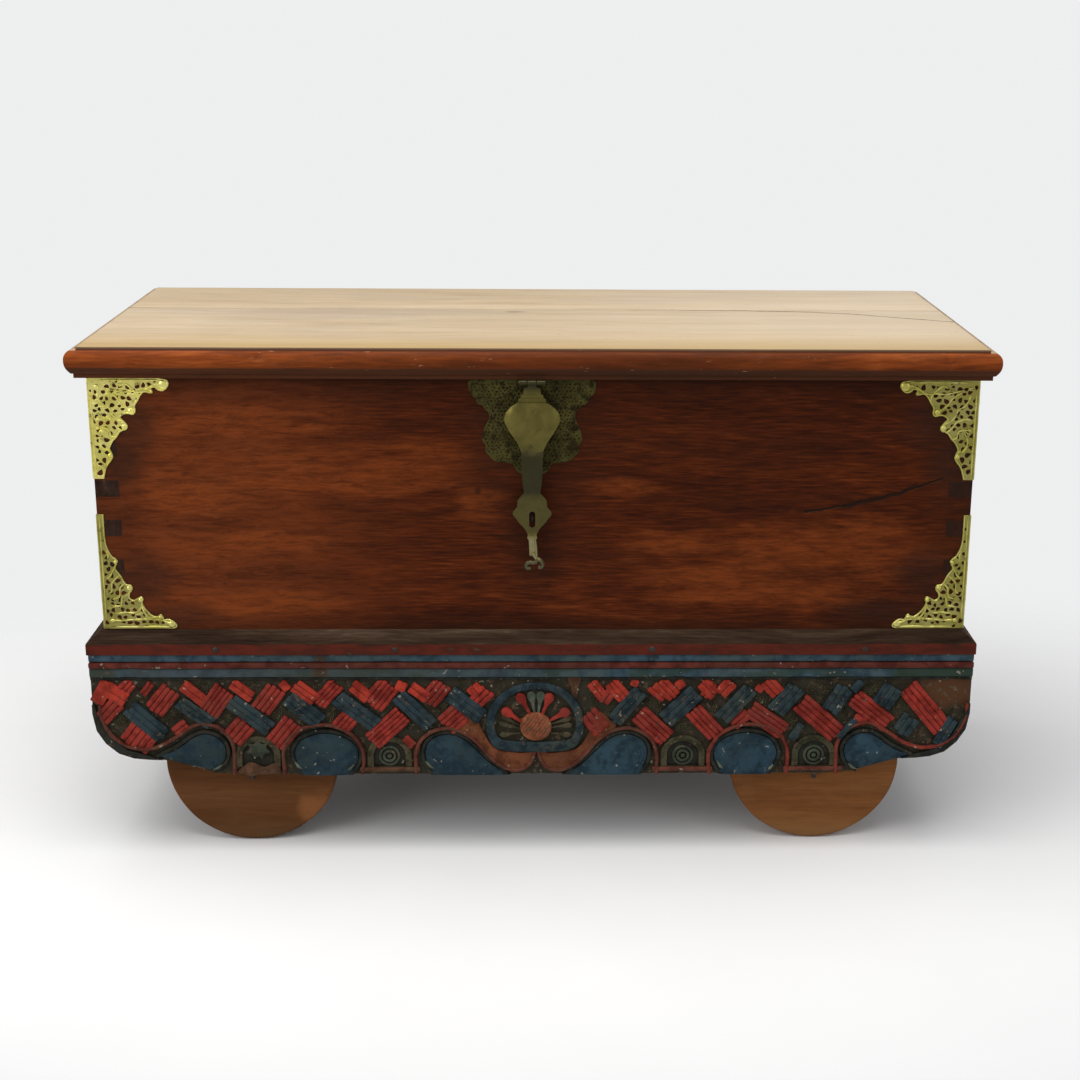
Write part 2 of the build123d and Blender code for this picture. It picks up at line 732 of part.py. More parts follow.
def make_mounts():
    upper_level = body_top - lip_drop - mount_top_gap
    lower_level = body_bottom + mount_bottom_gap
    lefts = {
        "corner_mount_upper": left_mount(UPPER_SCALLOPS, upper_mount, upper_level, -1),
        "corner_mount_lower": left_mount(LOWER_SCALLOPS, lower_mount, lower_level, 1),
    }
    for name, mount in lefts.items():
        nodes[f"{name}_left"] = mount
        nodes[f"{name}_right"] = mirror(mount, about=Plane.YZ)
    planes = []
    for side in SIDES.values():
        for level in (upper_level - mount_nail, lower_level + mount_nail):
            planes.append(facing_front(side * (body_half - mount_nail), body_front - mount_sheet, level))
            planes.append(facing_side(side, side * (body_half + mount_sheet), body_front + mount_nail, level))
    pieces = [f"{name}_{side}" for name in lefts for side in SIDES]
    drive_nails("corner_mount_nails", planes, pieces + ["front_board", "end_board_left", "end_board_right"])


# ---- Drop handles ----

def make_handles():
    y_mid = (body_front + body_back) / 2
    z = body_top - handle_below_top
    eye_y = handle_half - handle_shoulder - eye_gap - eye_width / 2
    pin_end = eye_y - eye_width / 2 - handle_pin_end
    eye_hole = handle_pin + handle_clearance
    for name, side in SIDES.items():
        x = side * (body_half + eye_standoff)
        eyes = []
        for end in (-1, 1):
            y = y_mid + end * eye_y
            rose = facing_side(side, side * body_half, y, z) * RegularPolygon(rose_radius, 8)
            eye = extrude(rose, amount=rose_sheet)
            half = eye_neck / 2
            neck = span(side, body_half, body_half + eye_standoff)
            eye += block(neck, (y - half, y + half), (z - half, z + half))
            ring = Plane(origin=(x, y + eye_width / 2, z), x_dir=(1, 0, 0), z_dir=(0, -1, 0))
            eye += extrude(ring * RegularPolygon(eye_radius, 8), amount=eye_width)
            eye -= extrude(ring * Circle(eye_hole), amount=eye_width)
            half = tang_size / 2
            depth = span(side, body_half - tang_length, body_half)
            tang = block(depth, (y - half, y + half), (z - half, z + half))
            eyes.append(eye + tang)
            nodes[f"end_board_{name}"] = nodes[f"end_board_{name}"] - tang
        nodes[f"handle_eyes_{name}"] = group(eyes)

        nodes[f"handle_{name}"] = bail(x, y_mid, z, pin_end)


def rounded_frame(grow):
    """The outline of a bail about its pivot line, moved outward from the bar's middle by grow."""
    frame = Pos(0, -handle_drop / 2) * Rectangle(2 * (handle_half + grow), handle_drop + 2 * grow)
    return fillet(frame.vertices().sort_by(Axis.Y)[:2], handle_corner + grow)


def bail(x, y_mid, z, pin_end):
    """A drop handle of square bar, drawn down to a round pin at each end."""
    half = handle_bar / 2
    shoulder = handle_half - handle_shoulder
    plane = Plane(origin=(x - half, y_mid, z), x_dir=(0, 1, 0), z_dir=(1, 0, 0))
    frame = rounded_frame(half) - rounded_frame(-half) - Rectangle(2 * shoulder, 2 * handle_bar)
    handle = extrude(plane * frame, amount=handle_bar)
    pin = Rot(90, 0, 0) * Cylinder(handle_pin, shoulder - pin_end)
    for end in (-1, 1):
        handle += Pos(x, y_mid + end * (shoulder + pin_end) / 2, z) * pin
    return handle


def write_nodes():
    os.makedirs("parts", exist_ok=True)
    for name, shape in nodes.items():
        export_step(shape, f"parts/{name}.step")


make_carcass()
make_base()
make_running_gear()
make_lid()
make_hinges()
make_lock_plate()
make_staple()
make_hasp_leaf()
make_hasp()
make_mounts()
make_handles()
write_nodes()
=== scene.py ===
# %% [markdown]
# # A dowry chest on wheels
# This lesson dresses a finished construction model of an old hardwood dowry chest: a dovetailed
# carcass with a heavy hinged lid, a painted and carved base on solid wooden wheels, and pierced
# brass mounts. The construction model gives every size and place. Blender adds what the tools of
# the maker and two centuries of use left behind: grain, carving, paint, patina and wear.
# Everything is in metres, X to the right, the front faces -Y and Z is up from the floor.

import functools
import json
import math
import random

import bmesh
import bpy
from mathutils import Matrix, Vector, noise


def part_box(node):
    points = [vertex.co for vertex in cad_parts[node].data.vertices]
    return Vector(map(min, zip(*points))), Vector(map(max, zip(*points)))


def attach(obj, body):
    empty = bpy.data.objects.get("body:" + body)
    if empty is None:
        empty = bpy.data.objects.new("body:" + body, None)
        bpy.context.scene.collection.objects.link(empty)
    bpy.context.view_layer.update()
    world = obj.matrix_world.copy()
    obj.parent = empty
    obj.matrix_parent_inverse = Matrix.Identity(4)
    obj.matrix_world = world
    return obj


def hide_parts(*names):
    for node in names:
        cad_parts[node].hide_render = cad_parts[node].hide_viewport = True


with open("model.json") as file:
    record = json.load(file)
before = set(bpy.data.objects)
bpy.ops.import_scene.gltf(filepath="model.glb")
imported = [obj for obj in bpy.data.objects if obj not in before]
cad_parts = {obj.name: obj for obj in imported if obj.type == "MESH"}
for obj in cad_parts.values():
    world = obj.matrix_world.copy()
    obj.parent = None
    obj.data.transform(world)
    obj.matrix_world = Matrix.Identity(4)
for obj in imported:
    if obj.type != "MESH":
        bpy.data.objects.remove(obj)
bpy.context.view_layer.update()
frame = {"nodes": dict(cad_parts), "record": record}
mm = 0.001
slot_of = {part["node"]: part["material_slot"] for part in frame["record"]["subparts"]}

# %% [markdown]
# ## Places that every piece needs
# The front of the carcass, the lid and the base are read from the construction model, so a piece
# lands where the joiner put it. The names below are used all through the lesson.

# %% Read the main places
carcass_low, carcass_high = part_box("front_board")
lid_low, lid_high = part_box("lid_plank_front")
apron_low, apron_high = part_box("apron_front")
wheel_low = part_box("wheel_front_left")[0]
front_y = carcass_low.y
base_x = (apron_low.x + apron_high.x) / 2
half_length = carcass_high.x
apron_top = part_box("cornice_front")[0].z
print("front face at", round(front_y, 4), "base centre at", round(base_x, 4))

# %% [markdown]
# ## The camera
# The chest is seen from a little above and almost square on, through a long lens. The lens and the
# point where its axis meets the frame are given in pixels. That point lies a little to the right of
# the frame's middle, and the shift takes care of it.

# %% Place the camera
frame_pixels = 1080
focal_pixels = 1792.0
axis_pixel = (590.35, 538.0)
camera_place = (0.00805, -2.72823, 1.21571)
pitch, yaw, roll = 0.287, 0.0281, 0.0087


def stand(name, data):
    """A new object in the scene that shows the given data."""
    obj = bpy.data.objects.new(name, data)
    bpy.context.scene.collection.objects.link(obj)
    return obj


lens = bpy.data.cameras.new("camera")
lens.sensor_width = 36.0
lens.lens = focal_pixels * lens.sensor_width / frame_pixels
lens.shift_x = 0.5 - axis_pixel[0] / frame_pixels
lens.shift_y = axis_pixel[1] / frame_pixels - 0.5
camera = stand("camera", lens)
camera.matrix_world = Matrix.Translation(camera_place)
for angle, axis in ((-yaw, "Z"), (math.pi / 2 - pitch, "X"), (roll, "Z")):
    camera.matrix_world = camera.matrix_world @ Matrix.Rotation(angle, 4, axis)
bpy.context.scene.camera = camera
print("lens", round(lens.lens, 2), "shift", round(lens.shift_x, 4), round(lens.shift_y, 4))

# %% [markdown]
# ## Node trees by hand
# Every finish below is a small tree of shader nodes, and these helpers keep the trees readable.
# `add` makes one node and wires its inputs, `ramp` turns a grey value into a run of colours, and
# `washes` lays thin coats of colour one over another, each through its own mask.

# %% Helpers for node trees
def add(tree, kind, inputs=None, **settings):
    """One node; an input is wired when its value is a socket and set when it is a plain value."""
    node = tree.nodes.new(kind)
    for name, value in settings.items():
        setattr(node, name, value)
    for name, value in (inputs or {}).items():
        if isinstance(value, bpy.types.NodeSocket):
            tree.links.new(value, node.inputs[name])
        else:
            node.inputs[name].default_value = value
    return node


def maths(tree, operation, *values):
    return add(tree, "ShaderNodeMath", dict(enumerate(values)), operation=operation).outputs[0]


def chained(operation):
    """A helper that takes any number of values through one operation, two at a time."""
    return lambda tree, *values: functools.reduce(lambda a, b: maths(tree, operation, a, b), values)


times, most, less = chained("MULTIPLY"), chained("MAXIMUM"), chained("SUBTRACT")


def scaled(tree, value, by, plus):
    return maths(tree, "MULTIPLY_ADD", value, by, plus)


def blend_colours(tree, mask, below, above, kind="MIX"):
    """One colour over another through a mask."""
    below, above = ((*colour, 1.0) if isinstance(colour, tuple) else colour for colour in (below, above))
    node = add(tree, "ShaderNodeMix", {0: mask, 6: below, 7: above}, data_type="RGBA", blend_type=kind)
    return node.outputs[2]


def washes(tree, colour, *coats):
    """Thin coats one over another: each is a mask, how strongly it covers, and its own colour."""
    for mask, strength, shade in coats:
        colour = blend_colours(tree, mask if strength == 1 else times(tree, mask, strength), colour, shade)
    return colour


def ramp(tree, value, stops):
    """Colours or greys at positions from 0 to 1."""
    node = add(tree, "ShaderNodeValToRGB", {"Fac": value})
    elements = node.color_ramp.elements
    while len(elements) < len(stops):
        elements.new(0.5)
    for element, (place, colour) in zip(elements, stops):
        element.position = place
        element.color = (*(colour if isinstance(colour, tuple) else (colour,) * 3), 1.0)
    return node.outputs["Color"]


def fade(tree, value, start, end):
    """0 where value is at start and 1 where it is at end, smooth between."""
    node = add(tree, "ShaderNodeMapRange", {"Value": value, "From Min": start, "From Max": end},
               interpolation_type="SMOOTHSTEP")
    return node.outputs["Result"]


def between(tree, value, rise, fall):
    """1 from the end of the rise to the end of the fall, each a pair of values to fade over."""
    return times(tree, fade(tree, value, *rise), fade(tree, value, *fall))


def coordinates(tree, stretch=(1, 1, 1), turn=(0, 0, 0), move=(0, 0, 0)):
    """Object coordinates, stretched and turned to suit a pattern's run."""
    place = add(tree, "ShaderNodeTexCoord").outputs["Object"]
    return add(tree, "ShaderNodeMapping", {"Vector": place, "Scale": stretch, "Rotation": turn,
                                           "Location": move}).outputs["Vector"]


def place_parts(tree):
    """X, Y and Z of the place that is being shaded."""
    parts = add(tree, "ShaderNodeSeparateXYZ", {"Vector": add(tree, "ShaderNodeTexCoord").outputs["Object"]})
    return [parts.outputs[axis] for axis in "XYZ"]


def vector_maths(tree, operation, *values):
    """Vector arithmetic; what a vector is scaled by is a number and has a socket of its own."""
    sockets = (0, "Scale") if operation == "SCALE" else (0, 1)
    node = add(tree, "ShaderNodeVectorMath", dict(zip(sockets, values)), operation=operation)
    return node.outputs["Value" if operation == "LENGTH" else "Vector"]


def cloud(tree, where, scale, detail=4.0, roughness=0.55, distortion=0.0):
    return add(tree, "ShaderNodeTexNoise", {"Vector": where, "Scale": scale, "Detail": detail,
               "Roughness": roughness, "Distortion": distortion}).outputs["Fac"]


def new_finish(name, gleam=0.05):
    """A new material; gleam is how strongly its clear coat of oil or wax mirrors the room."""
    material = bpy.data.materials.new(name)
    material.use_nodes = True
    shader = material.node_tree.nodes["Principled BSDF"]
    shader.inputs["Specular IOR Level"].default_value = gleam
    return material, material.node_tree, shader


def finish_off(tree, shader, colour, roughness, height, depth):
    """Wires colour, roughness and a bump whose full height is depth metres."""
    for name, value in (("Base Color", colour), ("Roughness", roughness)):
        tree.links.new(value, shader.inputs[name])
    bump = add(tree, "ShaderNodeBump", {"Height": height, "Distance": depth, "Strength": 1.0})
    tree.links.new(bump.outputs["Normal"], shader.inputs["Normal"])

# %% [markdown]
# ## Floor, backdrop and light
# The chest stands in a pale studio. Away from the chest the floor fades into the backdrop, so no
# horizon shows. The light is a large soft panel overhead and another from the left front, with a
# low even fill, so the lid is brightest and the front falls off to the right.

# %% Build the studio
floor_size = 9.0
floor_round, floor_fade = (0.85, 1.45, 0), (0.8, 1.75)
PAPER = [(0.3, (0.8, 0.805, 0.815)), (0.7, (0.825, 0.83, 0.84))]


def lay_floor():
    bm = bmesh.new()
    bmesh.ops.create_grid(bm, x_segments=2, y_segments=2, size=floor_size / 2)
    mesh = bpy.data.meshes.new("studio_floor")
    bm.to_mesh(mesh)
    bm.free()
    material, tree, shader = new_finish("studio_paper")
    paper = ramp(tree, cloud(tree, coordinates(tree), 3.0), PAPER)
    tree.links.new(paper, shader.inputs["Base Color"])
    shader.inputs["Roughness"].default_value = 0.9
    veil = fade(tree, vector_maths(tree, "LENGTH", coordinates(tree, floor_round)), *floor_fade)
    clear = add(tree, "ShaderNodeBsdfTransparent")
    mixed = add(tree, "ShaderNodeMixShader", {0: veil, 1: shader.outputs[0], 2: clear.outputs[0]})
    tree.links.new(mixed.outputs[0], tree.nodes["Material Output"].inputs["Surface"])
    mesh.materials.append(material)
    stand("studio_floor", mesh)


lay_floor()
print("floor", floor_size, "m wide")

# %% Light the studio
PANELS = [("overhead", (-0.35, -0.75, 3.1), (0.0, -0.25, 0.3), (3.4, 2.4), 84.0, (1.0, 0.98, 0.95)),
          ("left_front", (-2.9, -2.6, 1.9), (-0.1, -0.2, 0.4), (2.2, 2.2), 50.0, (1.0, 0.98, 0.96)),
          ("right_front", (2.9, -2.4, 1.5), (0.1, -0.2, 0.4), (1.8, 1.8), 9.0, (0.96, 0.98, 1.0))]
fill_strength, backdrop_extra, backdrop_colour = 0.55, 0.33, (0.97, 0.975, 0.98, 1.0)

for name, place, target, size, power, colour in PANELS:
    panel = bpy.data.lights.new(name, "AREA")
    panel.shape = "RECTANGLE"
    panel.size, panel.size_y = size
    panel.energy, panel.color = power, colour
    lamp = stand(name, panel)
    lamp.location = place
    lamp.rotation_euler = (Vector(target) - Vector(place)).to_track_quat("-Z", "Y").to_euler()

world = bpy.data.worlds.new("studio_air")
bpy.context.scene.world = world
world.use_nodes = True
sky = world.node_tree
ray = add(sky, "ShaderNodeLightPath")
shown = most(sky, ray.outputs["Is Camera Ray"], ray.outputs["Is Transmission Ray"])
backdrop = sky.nodes["Background"]
backdrop.inputs["Color"].default_value = backdrop_colour
sky.links.new(scaled(sky, shown, backdrop_extra, fill_strength), backdrop.inputs["Strength"])
bpy.context.scene.view_settings.view_transform = "Standard"
print("lamps", len(PANELS))

# %% [markdown]
# ## Hardwood
# Every board shows the same three layers at different strengths: a broad figure, streaks that run
# with the grain and fine open pores. All three are noise stretched along the grain. On a board's
# end the same noise shows its short side, which looks like end grain with no extra work.

# %% A finish for hardwood boards
GRAIN = {"X": (1, 9, 9), "Y": (9, 1, 9)}


def grain_layers(tree, run, size, wave):
    """Figure, streaks and pores as three greys; `wave` is how far the grain swings off its run."""
    bend = cloud(tree, coordinates(tree), 1.6 * size, 2.0)
    sway = vector_maths(tree, "ADD", coordinates(tree, GRAIN[run]), (0.35, 0.35, 0.35))
    swing = vector_maths(tree, "SCALE", (0.0, wave, wave), bend)
    flow = vector_maths(tree, "ADD", sway, swing)
    fine = tuple(3 if part == 1 else part * 4 for part in GRAIN[run])
    return (cloud(tree, flow, 1.5 * size, 5.0, 0.6, 0.6), cloud(tree, flow, 7.0 * size, 8.0, 0.65, 0.3),
            cloud(tree, coordinates(tree, fine), 9.0 * size, 3.0, 0.6))


def spread_stops(shades, low=0.36, high=0.64):
    """Colours laid evenly over the part of the grey range that noise really fills."""
    step = (high - low) / (len(shades) - 1)
    return [(low + step * index, shade) for index, shade in enumerate(shades)]


def board_finish(name, shades, run="X", size=1.0, shine=(0.42, 0.62), depth=0.35 * mm, over=None, wave=0.5,
                 parts=(0.5, 0.34, 0.16)):
    """A plain board; `over` may add marks to its colour and height, and `parts` weigh its layers."""
    material, tree, shader = new_finish(name)
    figure, streaks, pores = grain_layers(tree, run, size, wave)
    tone = scaled(tree, pores, parts[2], scaled(tree, streaks, parts[1], times(tree, figure, parts[0])))
    colour = ramp(tree, tone, spread_stops(shades))
    height = scaled(tree, pores, 0.6, times(tree, streaks, 0.4))
    if over:
        colour, height = over(tree, colour, height)
    gloss = ramp(tree, streaks, [(0.35, shine[1]), (0.65, shine[0])])
    finish_off(tree, shader, colour, gloss, height, depth)
    return material


# %% [markdown]
# ## Marks that are drawn on
# Cracks, joints, stains and rubbed places are tied to real places on the chest, so they are drawn
# from Object coordinates. `near_line` is a soft black line along a run of points, `spot` is a round
# soft patch with a ragged edge and `scuffs` are short pale scratches that follow the grain.

# %% Helpers for marks
def spot(tree, centre, reach, wobble=0.25, grey=None):
    """1 at the centre, 0 at the reach, with a ragged edge. Centre and reach are vectors."""
    stretch = tuple(1 / r for r in reach)
    where = coordinates(tree, stretch, move=tuple(-c * s for c, s in zip(centre, stretch)))
    ragged = scaled(tree, grey or cloud(tree, coordinates(tree), 22.0), wobble * 2, -wobble)
    return fade(tree, maths(tree, "ADD", vector_maths(tree, "LENGTH", where), ragged), 1.0, 0.25)


def near_line(tree, along, across, points, width, waver=0.004):
    """A crack that follows a line of (along, across) points."""
    (low_a, low_c), (high_a, high_c) = ([pick(p[i] for p in points) for i in (0, 1)] for pick in (min, max))
    share = add(tree, "ShaderNodeMapRange", {"Value": along, "From Min": low_a, "From Max": high_a})
    curve = add(tree, "ShaderNodeFloatCurve", {"Value": share.outputs[0]})
    handles = curve.mapping.curves[0].points
    while len(handles) < len(points):
        handles.new(0.5, 0.5)
    for handle, (a, c) in zip(handles, sorted(points)):
        handle.location = ((a - low_a) / (high_a - low_a), (c - low_c) / max(high_c - low_c, 1e-6))
    curve.mapping.update()
    line = scaled(tree, curve.outputs["Value"], high_c - low_c, low_c)
    shake = scaled(tree, cloud(tree, coordinates(tree), 30.0), waver * 2, -waver)
    gap = maths(tree, "ABSOLUTE", less(tree, across, maths(tree, "ADD", line, shake)))
    within = times(tree, maths(tree, "GREATER_THAN", along, low_a), maths(tree, "LESS_THAN", along, high_a))
    return times(tree, fade(tree, gap, width, width * 0.3), within)


def patches(tree, places, wobble):
    """One mask for soft patches on the front; each is its middle (x, z), then its reach (x, z)."""
    grey = cloud(tree, coordinates(tree, (0.3, 1, 2.0)), 20.0, 6.0, 0.68)
    return most(tree, 0.0, *(spot(tree, (x, front_y, z), (wide, 0.06, high * 1.5), wobble, grey)
                             for x, z, wide, high in places))


def streaky(tree, stretch, scale, detail, low, high, *more):
    """Noise stretched along the grain and faded between two of its greys."""
    return fade(tree, cloud(tree, coordinates(tree, stretch), scale, detail, *more), low, high)


def scuffs(tree, scale, amount):
    """Short pale scratches along the grain."""
    return streaky(tree, (1, 7, 7), scale, 3.0, amount, amount + 0.05, 0.7)


# %% [markdown]
# ## The carcass
# Old oiled teak: deep red-brown with nearly black streaks and a warmer orange figure in the middle of
# the front, which also carries a painted sheen; the left part is lighter wood with painted light from
# the left lamp on it. Grime gathered round the brass and at the ends, where no cloth reaches, and
# under the lid the front is painted darker as shade, with a painted shadow along the lid's edge. One
# long shake runs in from the right-hand end.

# %% Finish the carcass boards
TEAK = [(0.016, 0.004, 0.0016), (0.031, 0.0064, 0.002), (0.051, 0.0101, 0.0025), (0.079, 0.0157, 0.0034),
        (0.122, 0.0275, 0.006)]
GLOWS = [(-0.42, 0.655, 0.2, 0.02), (-0.3, 0.585, 0.28, 0.026), (-0.145, 0.612, 0.1, 0.018),
         (-0.505, 0.545, 0.11, 0.03), (-0.215, 0.565, 0.07, 0.022), (-0.085, 0.545, 0.045, 0.02),
         (-0.4, 0.478, 0.16, 0.016), (-0.4, 0.385, 0.18, 0.02), (0.38, 0.468, 0.24, 0.034),
         (0.47, 0.505, 0.12, 0.012), (0.35, 0.4, 0.26, 0.018), (0.2, 0.475, 0.1, 0.018),
         (0.44, 0.492, 0.15, 0.026), (0.12, 0.56, 0.07, 0.014), (0.3, 0.425, 0.22, 0.022),
         (0.49, 0.44, 0.07, 0.022)]
SHADES = [(-0.22, 0.52, 0.1, 0.012), (-0.47, 0.505, 0.09, 0.01), (0.22, 0.62, 0.3, 0.05),
          (0.34, 0.54, 0.22, 0.016), (0.1, 0.45, 0.14, 0.022), (-0.07, 0.6, 0.05, 0.02),
          (-0.33, 0.435, 0.14, 0.014), (0.46, 0.43, 0.16, 0.012)]
HALOS = [(-0.566, 0.65, 0.05, 0.04), (-0.585, 0.6, 0.042, 0.034), (-0.56, 0.425, 0.06, 0.036),
         (-0.52, 0.372, 0.085, 0.016), (0.56, 0.66, 0.065, 0.04), (0.588, 0.6, 0.04, 0.036),
         (0.56, 0.43, 0.055, 0.036), (0.5, 0.376, 0.1, 0.018)]
BEHIND_HASP = [(-0.006, 0.64, 0.15, 0.15), (-0.006, 0.5, 0.06, 0.09)]
SHAKE = [(0.384, 0.525), (0.456, 0.538), (0.527, 0.5557), (0.582, 0.576)]
SHAKE_OPEN = [(0.44, 0.535), (0.49, 0.5445), (0.545, 0.5625)]


def carcass_marks(tree, colour, height):
    x, _, z = place_parts(tree)
    ends = fade(tree, maths(tree, "ABSOLUTE", x), 0.52, 0.635)
    # the top of the front is painted darker as shade under the lid's overhang; the ends, the foot and the
    # wood round the hasp get grime
    shade_under_lid, foot = fade(tree, z, 0.665, 0.728), fade(tree, z, 0.378, 0.348)
    patchy = streaky(tree, (1, 4, 4), 5.0, 5.0, 0.25, 0.75)
    dirt_and_shade = times(tree, most(tree, ends, shade_under_lid, foot, patches(tree, BEHIND_HASP, 0.35)),
                 scaled(tree, patchy, 0.7, 0.3))
    fleck = cloud(tree, coordinates(tree, (1, 6, 6)), 21.0, 8.0, 0.78, 0.5)
    figure = fade(tree, fleck, 0.4, 0.62)
    # the left part of the front is painted lighter: paler wood, and painted light from the left lamp
    paler_left_wood_and_light = times(tree, fade(tree, x, -0.1, -0.48), scaled(tree, figure, 0.44, 0.34))
    # bright orange figure patches, which also carry a painted sheen
    glow_figure_and_sheen = times(tree, patches(tree, GLOWS, 1.3), scaled(tree, figure, 0.65, 0.35))
    shade = times(tree, patches(tree, SHADES, 1.3), scaled(tree, figure, -0.5, 1.0))
    shake = most(tree, near_line(tree, x, z, SHAKE, 0.0021),
                 times(tree, near_line(tree, x, z, SHAKE_OPEN, 0.0046, 0.006), 0.8))
    knot = spot(tree, (-0.083, front_y, 0.556), (0.008, 0.03, 0.009), 0.5)
    dark = most(tree, shake, times(tree, knot, 0.6))
    colour = washes(tree, colour, (paler_left_wood_and_light, 1, (0.156, 0.0365, 0.0096)), (glow_figure_and_sheen, 0.62, (0.2, 0.044, 0.0085)),
                    (shade, 0.38, (0.026, 0.0068, 0.0028)),
                    (fade(tree, fleck, 0.44, 0.32), 0.46, (0.026, 0.007, 0.0032)),
                    (dirt_and_shade, 0.74, (0.02, 0.0075, 0.0036)),
                    # a painted shadow along the top of the front, under the lid's edge
                    (fade(tree, z, 0.706, 0.73), 0.55, (0.014, 0.0055, 0.0026)),
                    (patches(tree, HALOS, 0.55), 0.5, (0.022, 0.0105, 0.0066)),
                    (dark, 1, (0.012, 0.006, 0.004)),
                    (scuffs(tree, 34.0, 0.72), 0.4, (0.17, 0.065, 0.035)))
    return colour, less(tree, height, times(tree, dark, 3.0))


teak = board_finish("teak", TEAK, over=carcass_marks, shine=(0.36, 0.54), wave=1.4, parts=(0.32, 0.28, 0.4))
TAILS = [(0.35, (0.014, 0.0085, 0.0068)), (0.6, (0.034, 0.019, 0.0135)), (0.72, (0.07, 0.042, 0.03))]


def end_grain(tree, colour, height):
    """Where the end boards' tails come through to the front they show grey, dirty end grain, painted darker
    on the right-hand end as shade.
    """
    x, y, _ = place_parts(tree)
    through = fade(tree, y, front_y + 0.004, front_y + 0.001)
    tails = ramp(tree, cloud(tree, coordinates(tree, (2, 2, 1)), 60.0, 5.0, 0.7), TAILS)
    # the right-hand tails are painted darker, as shade where the light falls off to the right
    tails = washes(tree, tails, (fade(tree, x, -0.2, 0.2), 0.8, (0.019, 0.0085, 0.006)))
    return washes(tree, colour, (through, 0.82, tails)), height


teak_end = board_finish("teak_end", TEAK, run="Y", over=end_grain, shine=(0.38, 0.58))
print("carcass finishes with", len(GLOWS + SHADES + HALOS), "patches")

# %% [markdown]
# ## The lid
# The top has been bleached by the sun to pale tan, with a grey cast where water stood. The two
# planks meet in a dark line, and near the right-hand end a shake leaves that line and runs towards
# the front. The moulding round the lid kept its wax and stays a warm orange red; its lower part is
# darker, with grime and a painted shade.

# %% Finish the lid
LID_TAN = [(0.36, 0.272, 0.172), (0.42, 0.325, 0.212), (0.46, 0.362, 0.244), (0.495, 0.397, 0.276),
           (0.53, 0.435, 0.32)]
plank_joint = lid_high.y
JOINT = [(-0.66, 0.001), (0.0, -0.001), (0.66, 0.001)]
LID_SHAKE = [(0.14, -0.002), (0.3, -0.006), (0.44, -0.02), (0.56, -0.07), (0.66, -0.115)]


def lid_marks(tree, colour, height):
    x, y, z = place_parts(tree)
    joint, shake = (near_line(tree, x, y, [(a, plank_joint + c) for a, c in line], width, waver)
                    for line, width, waver in ((JOINT, 0.0026, 0.0012), (LID_SHAKE, 0.0034, 0.006)))
    water = streaky(tree, (1, 2.6, 1), 2.3, 5.0, 0.46, 0.7, 0.62, 0.8)
    stain = spot(tree, (-0.22, plank_joint - 0.03, lid_high.z), (0.36, 0.06, 0.05), 0.4)
    knot = spot(tree, (-0.035, plank_joint - 0.024, lid_high.z), (0.022, 0.013, 0.02), 0.7)
    rim = fade(tree, y, lid_low.y + 0.0035, lid_low.y + 0.0015)
    line = most(tree, times(tree, joint, 0.58), times(tree, shake, 0.85), times(tree, rim, 0.9))
    colour = washes(tree, colour, (water, 0.4, (0.37, 0.305, 0.245)), (stain, 0.35, (0.32, 0.255, 0.2)),
                    (fade(tree, x, -0.1, 0.6), 0.5, (0.61, 0.51, 0.385)),
                    (fade(tree, y, -0.12, -0.27), 0.64, (0.36, 0.236, 0.08)),
                    (streaky(tree, (1, 3, 1), 75.0, 2.0, 0.7, 0.78), 0.6, (0.16, 0.1, 0.065)),
                    (knot, 0.45, (0.2, 0.145, 0.1)), (line, 1, (0.085, 0.05, 0.032)),
                    (fade(tree, z, lid_high.z - 0.003, lid_high.z - 0.012), 0.8, (0.1, 0.034, 0.013)))
    return colour, less(tree, height, times(tree, line, 2.5))


lid_wood = board_finish("lid_wood", LID_TAN, size=0.7, over=lid_marks, shine=(0.5, 0.7), depth=0.3 * mm)

MOULDING_RED = [(0.05, 0.012, 0.0036), (0.1, 0.0228, 0.0053), (0.18, 0.039, 0.008), (0.275, 0.065, 0.0128),
                (0.375, 0.108, 0.027)]


def moulding_marks(tree, colour, height):
    x, _, z = place_parts(tree)
    beside = maths(tree, "GREATER_THAN", maths(tree, "ABSOLUTE", x), half_length + 0.009)
    bare = blend_colours(tree, beside, (0.035, 0.012, 0.005), (0.36, 0.27, 0.17))
    east = fade(tree, maths(tree, "ABSOLUTE", maths(tree, "ADD", x, -0.12)), 0.5, 0.1)
    return washes(tree, colour, (fade(tree, z, lid_high.z - 0.0042, lid_high.z - 0.0026), 0.9, bare),
                  (east, 0.6, (0.062, 0.016, 0.005)),
                  # the lower part of the moulding is darker: grime, and painted shade under the ovolo
                  (fade(tree, z, lid_low.z + 0.0055, lid_low.z + 0.0015), 0.85, (0.044, 0.018, 0.0092)),
                  (streaky(tree, (1, 5, 5), 6.0, 6.0, 0.5, 0.68, 0.65), 0.55, (0.06, 0.021, 0.01)),
                  (scuffs(tree, 40.0, 0.68), 0.6, (0.42, 0.22, 0.12))), height


moulding_woods = [board_finish("moulding_wood_" + run, MOULDING_RED, run, shine=(0.34, 0.5),
                               over=moulding_marks) for run in "XY"]
print("lid finishes ready")

# %% [markdown]
# ## Rough and weathered wood
# The frame inside the base, the axles and the floor never had a finish: they are grey-brown and
# rough. The wheels are a warmer brown, worn pale where they meet the floor and scraped in one place.

# %% Finish the frame and the wheels
RAW = [(0.045, 0.026, 0.014), (0.075, 0.043, 0.023), (0.11, 0.064, 0.034), (0.15, 0.092, 0.052)]
frame_wood, frame_wood_deep = (board_finish(name, RAW, run, shine=(0.7, 0.88), depth=0.8 * mm)
                               for name, run in (("frame_wood", "X"), ("frame_wood_deep", "Y")))
WHEEL = [(0.078, 0.032, 0.0115), (0.098, 0.04, 0.0145), (0.122, 0.051, 0.0185), (0.147, 0.063, 0.0235),
         (0.18, 0.08, 0.029)]


